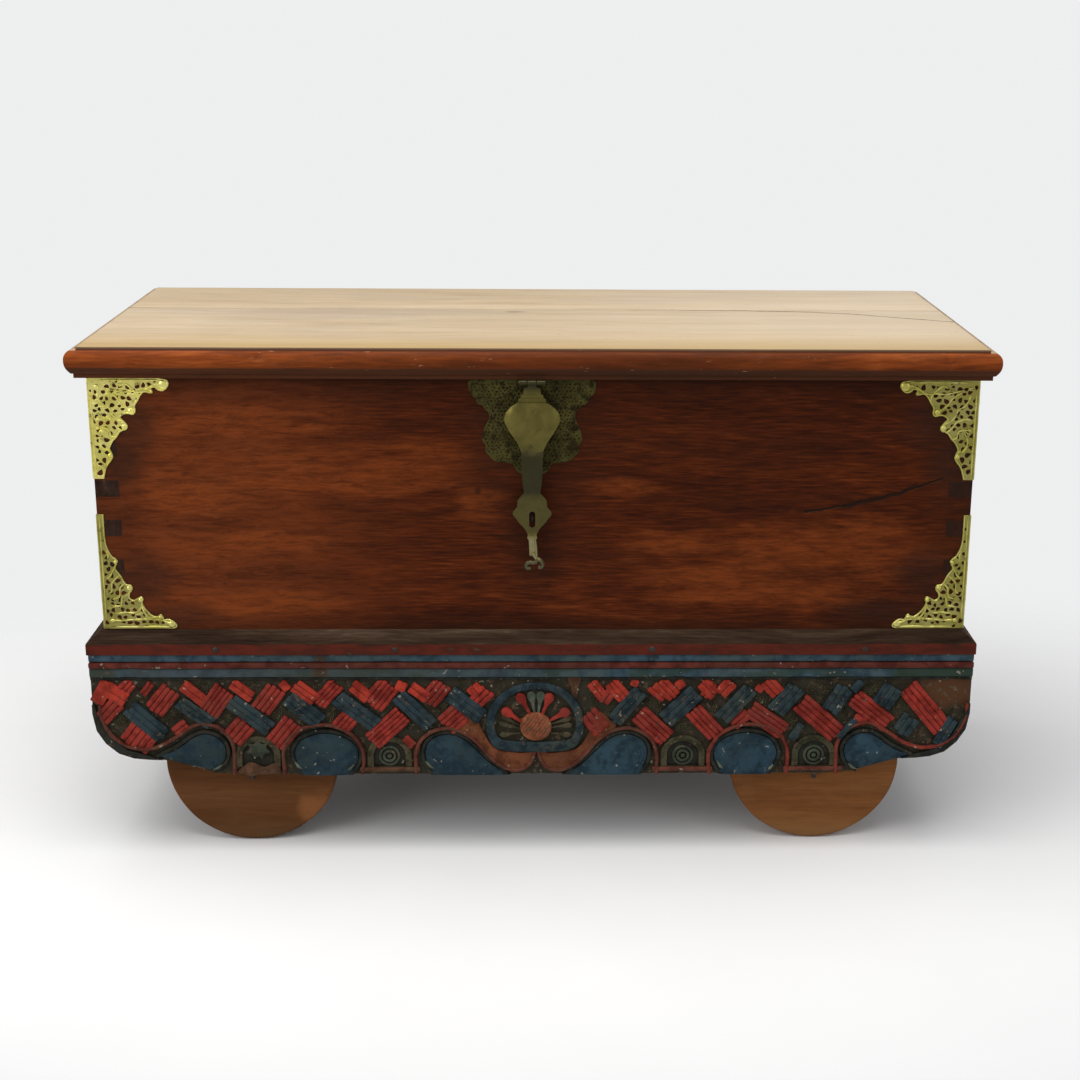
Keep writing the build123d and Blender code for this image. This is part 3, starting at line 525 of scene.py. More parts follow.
def wheel_marks(tree, colour, height):
    x, _, z = place_parts(tree)
    scraped = spot(tree, (wheel_low.x + 0.228, wheel_low.y, 0.052), (0.042, 0.05, 0.034), 0.9)
    colour = washes(tree, colour, (fade(tree, z, 0.05, 0.0), 0.4, (0.16, 0.1, 0.05)),
                    (streaky(tree, (1, 1, 1), 9.0, 5.0, 0.5, 0.75), 0.35, (0.14, 0.085, 0.05)),
                    (scraped, 0.8, (0.3, 0.125, 0.048)))
    level = ramp(tree, fade(tree, x, -0.15, 0.15), [(0.0, (0.72, 0.66, 0.6)), (1.0, (1.45, 1.35, 1.15))])
    return blend_colours(tree, 1.0, colour, level, "MULTIPLY"), height


wheel_wood = board_finish("wheel_wood", WHEEL, size=0.8, over=wheel_marks, shine=(0.55, 0.75), depth=0.5 * mm)
print("wood finishes ready")

# %% [markdown]
# ## Old paint
# The carving was painted in red, blue and green over a tan ground, and then rubbed, chipped and
# smoked. A paint here is its own colour, clouded, with three kinds of mark: strokes that rubbed it
# darker, hollows that are darker the further back they lie, and chips that show the pale ground.
# Depth is read from Object Y, because a hollow of the carving is simply further back.

# %% A finish for old paint
carving_face = front_y - 0.02
BARE_GROUND, HOLLOW_DARK, PALE_FLECK = (0.085, 0.058, 0.036), (0.02, 0.015, 0.01), (0.34, 0.31, 0.24)


def paint_finish(name, colour, other, chips=0.63, hollow=0.01, size=1.0, over=None):
    """Paint that drifts between two colours; `hollow` is how far back the carving counts as deep."""
    material, tree, shader = new_finish(name)
    y = place_parts(tree)[1]
    where = coordinates(tree)
    drift = fade(tree, cloud(tree, where, 9.0 * size, 5.0, 0.6, 0.4), 0.34, 0.66)
    strokes = cloud(tree, coordinates(tree, turn=(0, 0.6, 0)), 60.0 * size, 5.0, 0.65)
    tone = washes(tree, blend_colours(tree, drift, colour, other),
                  (fade(tree, strokes, 0.6, 0.36), 1, tuple(c * 0.45 for c in colour)))
    if over:
        tone = over(tree, tone)
    # the further back a part of the carving lies, the darker its colour
    deep = fade(tree, y, carving_face + hollow * 0.35, carving_face + hollow)
    chipped = fade(tree, cloud(tree, where, 85.0 * size, 4.0, 0.7), chips, chips + 0.05)
    pale = fade(tree, cloud(tree, coordinates(tree, move=(3, 1, 2)), 110.0, 2.0, 0.6), 0.675, 0.73)
    tone = washes(tree, tone, (deep, 0.66, HOLLOW_DARK), (chipped, 0.8, BARE_GROUND), (pale, 0.5, PALE_FLECK))
    gloss = ramp(tree, strokes, [(0.3, 0.5), (0.7, 0.74)])
    finish_off(tree, shader, tone, gloss, less(tree, strokes, times(tree, chipped, 0.8)), 0.45 * mm)
    return material


def lower_band_marks(tree, tone):
    """The lower band turns green at both ends and in patches, and one stretch is worn to brown wood."""
    x, _, z = place_parts(tree)
    low = fade(tree, z, 0.294, 0.2925)
    patch = times(tree, streaky(tree, (1, 1, 3), 11.0, 4.0, 0.5, 0.62), 0.75)
    green = times(tree, low, most(tree, fade(tree, x, -0.6, -0.622), fade(tree, x, 0.512, 0.532), patch))
    bare = spot(tree, (-0.315, carving_face, 0.293), (0.016, 0.05, 0.04), 0.5)
    return washes(tree, tone, (green, 0.85, (0.022, 0.036, 0.02)),
                  (times(tree, low, fade(tree, x, 0.15, -0.25)), 0.48, (0.046, 0.046, 0.04)),
                  (bare, 1, (0.044, 0.03, 0.018)))


def ground_marks(tree, tone):
    """The ground is mossy, and its right-hand top corner lost its paint and shows warm wood."""
    bare = spot(tree, (0.605, carving_face, 0.255), (0.075, 0.08, 0.042), 0.6)
    return washes(tree, tone, (streaky(tree, (1, 1, 1), 30.0, 4.0, 0.45, 0.6), 0.6, (0.028, 0.036, 0.024)),
                  (bare, 0.85, (0.13, 0.048, 0.018)))


# %% Mix the paints
PAINTS = {
    "red_paint": [(0.262, 0.03, 0.021), (0.15, 0.027, 0.019)],
    "line_red_paint": [(0.165, 0.03, 0.02), (0.09, 0.03, 0.02)],
    "orange_paint": [(0.35, 0.037, 0.022), (0.225, 0.031, 0.019)],
    "wave_paint": [(0.155, 0.05, 0.022), (0.105, 0.038, 0.018)],
    "hub_paint": [(0.25, 0.082, 0.038), (0.155, 0.06, 0.03), 0.6],
    "pink_paint": [(0.125, 0.036, 0.024), (0.07, 0.032, 0.02)],
    "tan_paint": [(0.102, 0.048, 0.026), (0.062, 0.036, 0.021)],
    "blue_paint": [(0.022, 0.038, 0.047), (0.034, 0.043, 0.037), 0.6],
    "deep_blue_paint": [(0.023, 0.047, 0.066), (0.018, 0.029, 0.028), 0.72],
    "dark_paint": [(0.02, 0.024, 0.02), (0.026, 0.022, 0.016)],
    "olive_paint": [(0.046, 0.044, 0.024), (0.066, 0.052, 0.03), 0.58],
    "ground_paint": [(0.046, 0.036, 0.022), (0.03, 0.032, 0.02), 0.56, 0.01, 1.0, ground_marks],
    "pale_paint": [(0.13, 0.14, 0.1), (0.062, 0.078, 0.055)],
    "moss_paint": [(0.05, 0.058, 0.038), (0.03, 0.036, 0.026), 0.58],
    "faded_paint": [(0.085, 0.1, 0.075), (0.036, 0.05, 0.038), 0.58],
    "band_blue": [(0.044, 0.082, 0.11), (0.048, 0.07, 0.072), 0.63, 0.03, 0.6, lower_band_marks],
    "band_red": [(0.112, 0.026, 0.018), (0.07, 0.024, 0.017), 0.63, 0.03, 0.6]}
paint = {name: paint_finish(name, *recipe) for name, recipe in PAINTS.items()}
print("paints", len(paint))

# %% [markdown]
# ## The ledge and the plain sides of the base
# The ledge is one piece of wood with two looks: its sloping reeds are bare and grey, its square lower
# edge keeps a band of red paint. The height above the floor tells them apart. The sides of the base
# have no carving, only the same bands, painted on the flat.

# %% Finish the ledge and the sides
LEDGE = [(0.0115, 0.0062, 0.0038), (0.022, 0.0118, 0.0069), (0.037, 0.0205, 0.0122), (0.061, 0.038, 0.0245),
         (0.12, 0.087, 0.06)]
ledge_edge_z = apron_top + 0.0165
SIDE_WOOD = [(0.022, 0.018, 0.013), (0.034, 0.028, 0.02), (0.05, 0.038, 0.026), (0.07, 0.05, 0.032)]
SIDE_BANDS = [(0.3022, 0.3152, (0.03, 0.043, 0.055)), (0.2935, 0.3018, (0.1, 0.024, 0.017)),
              (0.276, 0.2932, (0.028, 0.044, 0.05))]


def ledge_marks(tree, colour, height):
    z = place_parts(tree)[2]
    rubbed = cloud(tree, coordinates(tree, (1, 3, 3)), 26.0, 5.0, 0.65)
    painted = fade(tree, scaled(tree, rubbed, 0.004, z), ledge_edge_z + 0.0028, ledge_edge_z + 0.0012)
    red = blend_colours(tree, fade(tree, rubbed, 0.4, 0.64), (0.082, 0.015, 0.0085), (0.05, 0.0125, 0.0075))
    kept = less(tree, 1.0, fade(tree, rubbed, 0.64, 0.7))
    return washes(tree, colour, (times(tree, painted, kept), 1, red)), height


def side_marks(tree, colour, height):
    drift = cloud(tree, coordinates(tree, (1, 1, 2)), 12.0, 5.0, 0.6)
    wavy = scaled(tree, drift, 0.002, place_parts(tree)[2])
    rubbed = fade(tree, drift, 0.68, 0.6)
    bands = [(between(tree, wavy, (low, low + 0.001), (high, high - 0.001)), rubbed, shade)
             for low, high, shade in SIDE_BANDS]
    return washes(tree, colour, *bands), height


ledge_woods = [board_finish("ledge_wood_" + run, LEDGE, run, 1.4, (0.6, 0.8), 0.7 * mm, ledge_marks)
               for run in "XY"]
apron_side_paint = board_finish("apron_side_paint", SIDE_WOOD, over=side_marks, shine=(0.6, 0.8))
print("ledge and side finishes ready")

# %% [markdown]
# ## Brass and iron
# The mounts are yellow brass that has gone green in its hollows; the upper left one is painted
# brighter, as lit by the left lamp, and the others painted darker as in shade. The hasp and lock
# plate are darker, and the hasp carries painted light and shade: dark at its neck in the lid's
# shadow, a highlight on its tail and shade on its foot. Metal takes its look from what it reflects,
# so roughness and patina matter more here than colour.

# %% A finish for metal
def brass_finish(name, bright, dull, patina, cover, shine=(0.3, 0.55), metal=0.85, depth=0.25 * mm,
                 over=None):
    """Clouded metal under patches of patina; `cover` is the grey at which the patina begins."""
    material, tree, shader = new_finish(name)
    clouds = cloud(tree, coordinates(tree), 28.0, 5.0, 0.6, 0.3)
    tarnish = fade(tree, cloud(tree, coordinates(tree, move=(5, 3, 1)), 70.0, 6.0, 0.7), cover, cover + 0.16)
    tone = blend_colours(tree, fade(tree, clouds, 0.35, 0.65), bright, dull)
    tone = blend_colours(tree, tarnish, tone, patina)
    if over:
        tone = over(tree, tone)
    gloss = blend_colours(tree, tarnish, (shine[0],) * 3, (shine[1],) * 3)
    tree.links.new(scaled(tree, tarnish, -0.45, metal), shader.inputs["Metallic"])
    scratches = cloud(tree, coordinates(tree, (1, 1, 3)), 190.0, 3.0, 0.7)
    finish_off(tree, shader, tone, gloss, scaled(tree, clouds, 1.2, times(tree, scratches, 0.5)), depth)
    return material


def mount_marks(tree, tone):
    """The chased crests are rubbed bright and the sheet between them is dull; the upper left mount is painted
    brighter, as lit by the left lamp, and the other three darker, as in shade.
    """
    x, y, z = place_parts(tree)
    beside = fade(tree, maths(tree, "ABSOLUTE", x), half_length + 0.001, half_length + 0.0018)
    crest = most(tree, fade(tree, y, front_y - 0.001, front_y - 0.0018), beside)
    # painted light: the upper left mount brighter, as lit from the left, and the other three darker, as in
    # shade
    lamp_lit_mount = times(tree, fade(tree, x, -0.3, -0.5), fade(tree, z, 0.5, 0.56))
    dull = times(tree, less(tree, 1.0, crest), scaled(tree, lamp_lit_mount, -0.42, 0.54))
    return washes(tree, tone, (dull, 1, (0.12, 0.108, 0.026)),
                  (scaled(tree, lamp_lit_mount, -0.32, 0.32), 1, (0.085, 0.076, 0.014)))


def hasp_light_and_shade(tree, tone):
    """Colour by height: the strap is nearly black and the diamond darker; the neck, leaf and pin are painted
    dark as the lid's shadow, the tail has a painted highlight and the curled foot painted shade.
    """
    z = place_parts(tree)[2]
    strap = between(tree, z, (0.634, 0.606), (0.545, 0.56))
    # painted shadow of the lid over the neck, a painted highlight on the tail and painted shade on the curled
    # foot
    return washes(tree, tone, (most(tree, strap, fade(tree, z, 0.698, 0.712)), 0.88, (0.036, 0.034, 0.02)),
                  (between(tree, z, (0.498, 0.488), (0.458, 0.462)), 0.7, (0.34, 0.3, 0.16)),
                  (between(tree, z, (0.56, 0.548), (0.496, 0.502)), 0.6, (0.062, 0.056, 0.026)),
                  (fade(tree, z, 0.461, 0.457), 0.7, (0.085, 0.08, 0.062)))


# %% Finish the brass and the iron
mount_brass = brass_finish("mount_brass", (0.97, 0.89, 0.29), (0.72, 0.65, 0.15), (0.115, 0.105, 0.024), 0.54,
                           over=mount_marks)
plate_brass = brass_finish("plate_brass", (0.084, 0.073, 0.022), (0.044, 0.039, 0.012), (0.019, 0.016, 0.006),
                           0.46, (0.42, 0.65), 0.7)
hasp_brass = brass_finish("hasp_brass", (0.175, 0.145, 0.04), (0.12, 0.1, 0.028), (0.05, 0.044, 0.016),
                          0.56, (0.34, 0.54), 0.8, over=hasp_light_and_shade)
iron = brass_finish("iron", (0.055, 0.05, 0.048), (0.035, 0.03, 0.028), (0.05, 0.026, 0.014), 0.5,
                    (0.45, 0.8), 0.8, 0.5 * mm)
print("metals ready")

# %% [markdown]
# ## Shapes by hand
# Almost every new piece here is one of four things: a board with softened edges, a moulding that is
# one section run along a line, a flat shape cut from sheet or carved as low relief, or a round bead
# along a path. Each gets one helper, and each helper starts from a bmesh operator or a flat curve.
# `settle` turns a finished bmesh into an object that rides on its body.
# Both sources of chance are given a seed, so that every run makes the same chest.

# %% Helpers for pieces
chance = random.Random(1407)
noise.seed_set(1407)


def settle(bm, name, finish, body, stands_for=(), sharp=38):
    """The bmesh becomes an object at the origin that rides on a body and may stand for solids."""
    bmesh.ops.recalc_face_normals(bm, faces=bm.faces)
    mesh = bpy.data.meshes.new(name)
    bm.to_mesh(mesh)
    bm.free()
    mesh.materials.append(finish)
    mesh.shade_smooth()
    mesh.set_sharp_from_angle(angle=math.radians(sharp))
    obj = stand(name, mesh)
    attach(obj, body)
    if stands_for:
        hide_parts(*stands_for)


def lay(target, part):
    """Adds one bmesh to another and frees it."""
    mesh = bpy.data.meshes.new("part")
    part.to_mesh(mesh)
    part.free()
    target.from_mesh(mesh)
    bpy.data.meshes.remove(mesh)


def shift(bm, by):
    bmesh.ops.translate(bm, vec=by, verts=bm.verts)


def stretch(bm, by):
    bmesh.ops.scale(bm, vec=by, verts=bm.verts)


def swing(bm, axis, angle=math.pi / 2):
    bmesh.ops.rotate(bm, matrix=Matrix.Rotation(angle, 3, axis), verts=bm.verts)


def face_along(bm, axis):
    """Turns a mesh that stands along Z so that it stands along the given axis."""
    bmesh.ops.rotate(bm, matrix=Vector(axis).to_track_quat("Z", "Y").to_matrix(), verts=bm.verts)


def roughen(bm, depth, grain):
    """Pushes points in and out by smooth noise, as a hand tool leaves a surface."""
    for vert in bm.verts:
        vert.co += noise.noise_vector(vert.co * grain) * depth


def soften(bm, offset, segments=2, degrees=40):
    """Bevels every edge that turns by more than the given angle."""
    limit = math.radians(degrees)
    edges = [edge for edge in bm.edges if len(edge.link_faces) == 2 and edge.calc_face_angle() > limit]
    bmesh.ops.bevel(bm, geom=edges, offset=offset, segments=segments, profile=0.5, affect="EDGES",
                    material=-1, clamp_overlap=True)


def cut_across(bm, axis, cuts):
    """Cuts every edge that runs along an axis, so that a long face has points to shape."""
    along = [e for e in bm.edges if abs((e.verts[0].co - e.verts[1].co)[axis]) > 1e-6]
    bmesh.ops.subdivide_edges(bm, edges=along, cuts=cuts, use_grid_fill=True)


def block(low, high, cuts=0, axis=0):
    """A cube stretched between two corners and cut across its length."""
    bm = bmesh.new()
    bmesh.ops.create_cube(bm, size=1.0)
    stretch(bm, Vector(high) - Vector(low))
    shift(bm, (Vector(low) + Vector(high)) / 2)
    if cuts:
        cut_across(bm, axis, cuts)
    return bm


def keep_side(bm, point, normal):
    """Cuts away everything behind a plane and closes the cut."""
    cut = bmesh.ops.bisect_plane(bm, geom=bm.verts[:] + bm.edges[:] + bm.faces[:], dist=1e-7, plane_co=point,
                                 plane_no=normal, clear_inner=True)
    rim = [item for item in cut["geom_cut"] if isinstance(item, bmesh.types.BMEdge)]
    if rim:
        bmesh.ops.holes_fill(bm, edges=rim)


# %% Helpers for outlines
def bowed(points, bow, steps=5):
    """A run of arcs from point to point, each bowed to the left of travel by a share of its chord."""
    line = [points[0]]
    for (x0, z0), (x1, z1) in zip(points, points[1:]):
        run, rise = x1 - x0, z1 - z0
        for share in (step / steps for step in range(1, steps + 1)):
            lift = 4 * bow * share * (1 - share)
            line.append((x0 + run * share - rise * lift, z0 + rise * share + run * lift))
    return line


def flowing(points, steps=6, closed=True):
    """A smooth line through every point."""
    count, line = len(points), []
    for index in range(count if closed else count - 1):
        near = [index + step for step in (-1, 0, 1, 2)]
        a, b, c, d = (points[k % count if closed else min(max(k, 0), count - 1)] for k in near)
        for t in (step / steps for step in range(steps)):
            line.append(tuple(0.5 * (2 * b[i] + (c[i] - a[i]) * t
                                     + (2 * a[i] - 5 * b[i] + 4 * c[i] - d[i]) * t * t
                                     + (3 * b[i] - a[i] - 3 * c[i] + d[i]) * t ** 3) for i in (0, 1)))
    return line if closed else line + [points[-1]]


def ring_points(centre, radius, count=20, squash=1.0):
    return [(centre[0] + radius * math.cos(math.tau * k / count),
             centre[1] + radius * squash * math.sin(math.tau * k / count)) for k in range(count)]


def sides_of(outline):
    return zip(outline, outline[1:] + outline[:1])


def shrink(points, inset):
    """A closed outline moved inwards along its own normals."""
    area = sum(a[0] * b[1] - b[0] * a[1] for a, b in sides_of(points))
    turn = 1 if area > 0 else -1
    moved = []
    for before, here, after in zip(points[-1:] + points[:-1], points, points[1:] + points[:1]):
        dx, dz = after[0] - before[0], after[1] - before[1]
        length = math.hypot(dx, dz) or 1.0
        moved.append((here[0] - turn * dz / length * inset, here[1] + turn * dx / length * inset))
    return moved


def gap_to(point, start, end):
    """Distance from a point to a line between two points."""
    run = Vector(end) - Vector(start)
    share = min(max((Vector(point) - Vector(start)).dot(run) / max(run.length_squared, 1e-9), 0.0), 1.0)
    return (Vector(point) - Vector(start) - run * share).length


def edge_gap(point, outline):
    return min(gap_to(point, a, b) for a, b in sides_of(outline))


def inside(point, outline):
    """Whether a point lies within a closed outline, by counting the sides it sees to one hand."""
    return sum((z0 > point[1]) != (z1 > point[1]) and point[0] < x0 + (point[1] - z0) * (x1 - x0) / (z1 - z0)
               for (x0, z0), (x1, z1) in sides_of(outline)) % 2 == 1


def in_metres(points, across=0.0, mirrored=False):
    """Millimetres to metres, shifted along X, and flipped left to right when asked."""
    side = -1 if mirrored else 1
    return [(across + side * x * mm, z * mm) for x, z in points]


# %% Helpers for sheets, beads and bosses
def from_curve(loops, place, closed, thin_ends=False, **settings):
    """Lines of (x, z) as a flat curve, made a mesh and stood upright to face the front."""
    data = bpy.data.curves.new("line", "CURVE")
    for name, value in settings.items():
        setattr(data, name, value)
    for loop in loops:
        spline = data.splines.new("POLY")
        spline.points.add(len(loop) - 1)
        for index, (point, (x, z)) in enumerate(zip(spline.points, loop)):
            point.co = (x, z, 0.0, 1.0)
            if thin_ends:
                point.radius = 0.35 + 0.65 * math.sin(math.pi * index / (len(loop) - 1))
        spline.use_cyclic_u = closed
    holder = bpy.data.objects.new("holder", data)
    mesh = bpy.data.meshes.new_from_object(holder)
    bm = bmesh.new()
    bm.from_mesh(mesh)
    bmesh.ops.remove_doubles(bm, verts=bm.verts, dist=1e-6)
    swing(bm, "X")
    shift(bm, place)
    bpy.data.objects.remove(holder)
    bpy.data.curves.remove(data)
    bpy.data.meshes.remove(mesh)
    return bm


def flat_shape(loops, back, front, edge=0.4 * mm):
    """A plate in the XZ plane between two depths; the first loop is its outline, the rest are holes."""
    return from_curve(loops, (0.0, (back + front) / 2, 0.0), True, dimensions="2D", fill_mode="BOTH",
                      bevel_depth=edge, bevel_resolution=1, extrude=max((back - front) / 2 - edge, 0.0),
                      offset=-edge)


def bead(path, radius, depth, flatten=0.6, thin_ends=False):
    """A round bar along a line of (x, z) at one depth, flattened towards the face it lies on."""
    bm = from_curve([path], (0.0, 0.0, 0.0), False, thin_ends, dimensions="3D", bevel_depth=radius,
                    bevel_resolution=1, use_fill_caps=True)
    stretch(bm, (1.0, flatten, 1.0))
    shift(bm, (0.0, depth, 0.0))
    return bm


def pebble(centre, radius, depth, height):
    """A low round boss on the front."""
    bm = bmesh.new()
    bmesh.ops.create_uvsphere(bm, u_segments=12, v_segments=6, radius=radius)
    stretch(bm, (1, height / radius, 1))
    shift(bm, (centre[0], depth, centre[1]))
    return bm


print("helpers ready for boards, mouldings, flat shapes and beads")

# %% [markdown]
# ## Boards
# The planks of the lid and of the floor are plain boards, but nobody has ever seen an old board with
# a knife edge. Each is a cube cut across its length, with bevelled edges and a little hand-planed
# unevenness.

# %% Plane the boards
def old_board(node, finish, body, edge, cuts=60, axis=0, uneven=0.25 * mm):
    """A board in place of a solid, with softened, slightly uneven edges."""
    low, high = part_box(node)
    bm = block(low, high, cuts, axis)
    soften(bm, edge, 3)
    for vert in bm.verts:
        drift = noise.noise_vector(vert.co * 14.0) * uneven
        vert.co = Vector(min(max(c + s, a), b) for c, s, a, b in zip(vert.co, drift, low, high))
    settle(bm, node + "_board", finish, body, (node,))


for end in ("front", "rear"):
    old_board(f"lid_plank_{end}", lid_wood, "lid", 2.2 * mm, 90)
for index in (1, 2, 3):
    old_board(f"floor_board_{index}", frame_wood, "chest", 1.2 * mm)
for side in ("left", "right"):
    old_board(f"lid_batten_{side}", frame_wood_deep, "lid", 2.5 * mm, 24, 1)
print("planks cut")

# %% [markdown]
# ## Mouldings run along an edge
# A moulding plane cuts the same section all along a strip, so the strip is one outline extruded and
# then cut across its length, which leaves points for dents and wear. The front corners are mitred
# with a plane cut at 45 degrees.

# %% Helpers for mouldings
def run_strip(section, start, end, cuts):
    """A strip along X: section points are (outward, up) in millimetres, outward is -Y."""
    bm = bmesh.new()
    face = bm.faces.new([bm.verts.new((start, -(out * mm), up * mm)) for out, up in section])
    pushed = bmesh.ops.extrude_face_region(bm, geom=[face])
    moved = [item for item in pushed["geom"] if isinstance(item, bmesh.types.BMVert)]
    bmesh.ops.translate(bm, vec=(end - start, 0, 0), verts=moved)
    cut_across(bm, 0, cuts)
    return bm


def three_sides(section, level, centre_x, reach, back_y, cuts):
    """Front, right and left strips of a moulding whose front corners are mitred."""
    front = run_strip(section, -half_length - reach, half_length + reach, cuts)
    shift(front, (0, front_y, level))
    for side in (-1, 1):
        keep_side(front, (side * half_length, front_y, 0), (-side, -1, 0))
    right = run_strip(section, -reach, back_y - front_y, cuts // 2)
    keep_side(right, (0, 0, 0), (1, -1, 0))
    swing(right, "Z")
    shift(right, (half_length, front_y, level))
    left = right.copy()
    stretch(left, (-1, 1, 1))
    for strip in (front, right, left):
        shift(strip, (centre_x, 0, 0))
    return {"front": front, "right": right, "left": left}


def wear(bm, centre_x, dents, slack, grain=22.0):
    """Presses dents into a moulding and lets its surface wander, always inwards."""
    for vert in bm.verts:
        over_x = max(abs(vert.co.x - centre_x) - half_length, 0.0)
        over_y = max(front_y - vert.co.y, 0.0)
        inward = Vector((-math.copysign(over_x, vert.co.x - centre_x), over_y, 0.0))
        if inward.length < 1e-6:
            continue
        inward.normalize()
        push = (noise.noise(vert.co * grain) * 0.5 + 0.5) * slack
        for place, reach, depth in dents:
            gap = (vert.co - Vector(place)).length / reach
            if gap < 1.0:
                push += depth * (1 - gap * gap) ** 2
        vert.co += inward * push


def run_moulding(name, node, body, woods, section, level, centre_x, reach, cuts, sharp, *worn):
    """Runs a moulding round three sides, wears it and sets it in place of the solids."""
    strips = three_sides(section, level, centre_x, reach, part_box(node + "_left")[1].y, cuts)
    for side, strip in strips.items():
        wear(strip, centre_x, *worn)
        settle(strip, f"{name}_{side}", woods[side != "front"], body, (f"{node}_{side}",), sharp)


# %% Run the lid's moulding
MOULDING_FOOT = [(11.5, 0.0), (3.5, 0.0), (3.5, -12.5), (15.0, -12.5), (15.0, -6.0), (17.5, -6.0)]
MOULDING_SIDE = [(17.5, -6.0), (25.0, 14.0), (13.5, 28.5)]
MOULDING_QUIRK = [(12.6, 27.6), (11.5, 24.0)]
lid_dents = [((-0.385, front_y - 0.024, 0.7515), 0.01, 0.0035),
             ((0.577, front_y - 0.024, 0.7515), 0.012, 0.004),
             ((-0.21, front_y - 0.022, 0.7275), 0.007, 0.003),
             ((0.155, front_y - 0.024, 0.742), 0.006, 0.002),
             ((-0.56, front_y - 0.024, 0.739), 0.008, 0.0022),
             ((0.31, front_y - 0.02, 0.757), 0.009, 0.0025), ((-0.05, front_y - 0.02, 0.759), 0.007, 0.002),
             ((0.47, front_y - 0.024, 0.731), 0.006, 0.002)]
ovolo = bowed(MOULDING_SIDE[:2], -0.11, 7) + bowed(MOULDING_SIDE[1:], -0.19, 8)[1:]
run_moulding("lid_edge", "lid_moulding", "lid", moulding_woods, MOULDING_FOOT[:-1] + ovolo + MOULDING_QUIRK,
             lid_low.z, 0.0, 0.025, 220, 30, lid_dents, 0.35 * mm)
print("lid moulding run, with", len(lid_dents), "dents")

# %% [markdown]
# ## The reeded ledge
# Above the carving a sloping ledge carries five fine reeds over a square edge. The reeds are a
# zigzag of arcs down the slope, worn lower in places.

# %% Run the ledge
LEDGE_TOP, LEDGE_NOSE, REEDS = (0.0, 33.0), (21.3, 16.6), 5
LEDGE_EDGE = [(0.0, 0.0), (20.8, 0.0), (21.4, 0.8), (21.4, 15.8)]
slope = [tuple(a + (b - a) * (k / REEDS) for a, b in zip(LEDGE_NOSE, LEDGE_TOP)) for k in range(REEDS + 1)]
run_moulding("ledge", "cornice", "chest", ledge_woods, LEDGE_EDGE + bowed(slope, -0.16, 4), apron_top, base_x,
             0.0215, 240, 24, [], 0.9 * mm, 16.0)
print("ledge run with", REEDS, "reeds")

# %% [markdown]
# ## The carved apron: board and bands
# The apron is one wide board. Its upper edge keeps three painted bands at full thickness, and below
# them the carver sank the ground by eight millimetres and left a plait, six lunettes, four small
# arches and a shell rosette standing. The board comes first: its outline has round lower corners
# that ease down into a level edge.

# %% Cut the apron's board
apron_half = (apron_high.x - apron_low.x) / 2
apron_foot = apron_low.z
sunk = front_y - 0.0125
field_top = 0.2735
CORNER = [(645, 222), (640, 196), (628, 176), (610, 160), (588, 152)]
FOOT = [(588, 152), (540, 146.5), (502, 136), (470, 127.5), (428, 124.2)]
right_edge = flowing(CORNER, 5, closed=False) + flowing(FOOT, 5, closed=False)[1:]
board_edge = [(645, apron_top / mm)] + right_edge + [(-x, z) for x, z in reversed(right_edge)]
board_edge = in_metres(board_edge + [(-645, apron_top / mm)], base_x)


def on_board(points, gap=1.2 * mm):
    """Lifts the points of a closed outline that hang below the board's foot."""
    lifted = []
    for x, z in points:
        foot = apron_foot
        for (x0, z0), (x1, z1) in zip(board_edge[1:-1], board_edge[2:-1]):
            if x1 <= x <= x0 and x0 > x1:
                foot = z0 + (z1 - z0) * (x - x0) / (x1 - x0)
        lifted.append((x, max(z, foot + gap) if foot > apron_foot + 1.0 * mm else z))
    return lifted


def painted_band(name, low, high, proud, finish):
    """A long flat band with softened, knocked edges."""
    bm = block((base_x - apron_half, sunk + 0.001, low), (base_x + apron_half, front_y - proud, high), 180)
    soften(bm, 1.3 * mm, 2)
    for vert in bm.verts:
        if vert.co.y < sunk:
            knock = max(noise.noise(vert.co * 38.0) - 0.32, 0.0) * 7.0 * mm
            vert.co.y += min(knock, 0.0025) + abs(noise.noise(vert.co * 9.0)) * 0.4 * mm
            vert.co.z += noise.noise(vert.co * Vector((12, 1, 1)).length) * 0.25 * mm
    settle(bm, name, finish, "chest")


board = flat_shape([board_edge], apron_high.y, sunk, 1.2 * mm)
lay(board, block((base_x - half_length, front_y + 0.0005, apron_top - 0.002),
                 (base_x + half_length, front_y + 0.0115, apron_high.z)))
settle(board, "carved_board", paint["ground_paint"], "chest", ("apron_front",))
for name, *sizes, finish in (("band_upper_blue", 0.303, apron_top, 0.0172, "band_blue"),
                             ("band_red_line", 0.2932, 0.3018, 0.0198, "band_red"),
                             ("band_lower_blue", 0.279, 0.2922, 0.0175, "band_blue"),
                             ("band_dark_line", field_top, 0.2786, 0.015, "dark_paint")):
    painted_band(name, *sizes, paint[finish])
print("board and bands cut")

# %% [markdown]
# ## The plait
# Slanting blocks cross each other like a basket weave, mirrored about the rosette. Every block is a
# few round strands side by side: blue strands run down to the middle line and lie over the red ones.
# The blocks are uneven on the real board, so each is listed by the two ends of its middle line, its
# width and its number of strands, in millimetres from the middle of the carving.

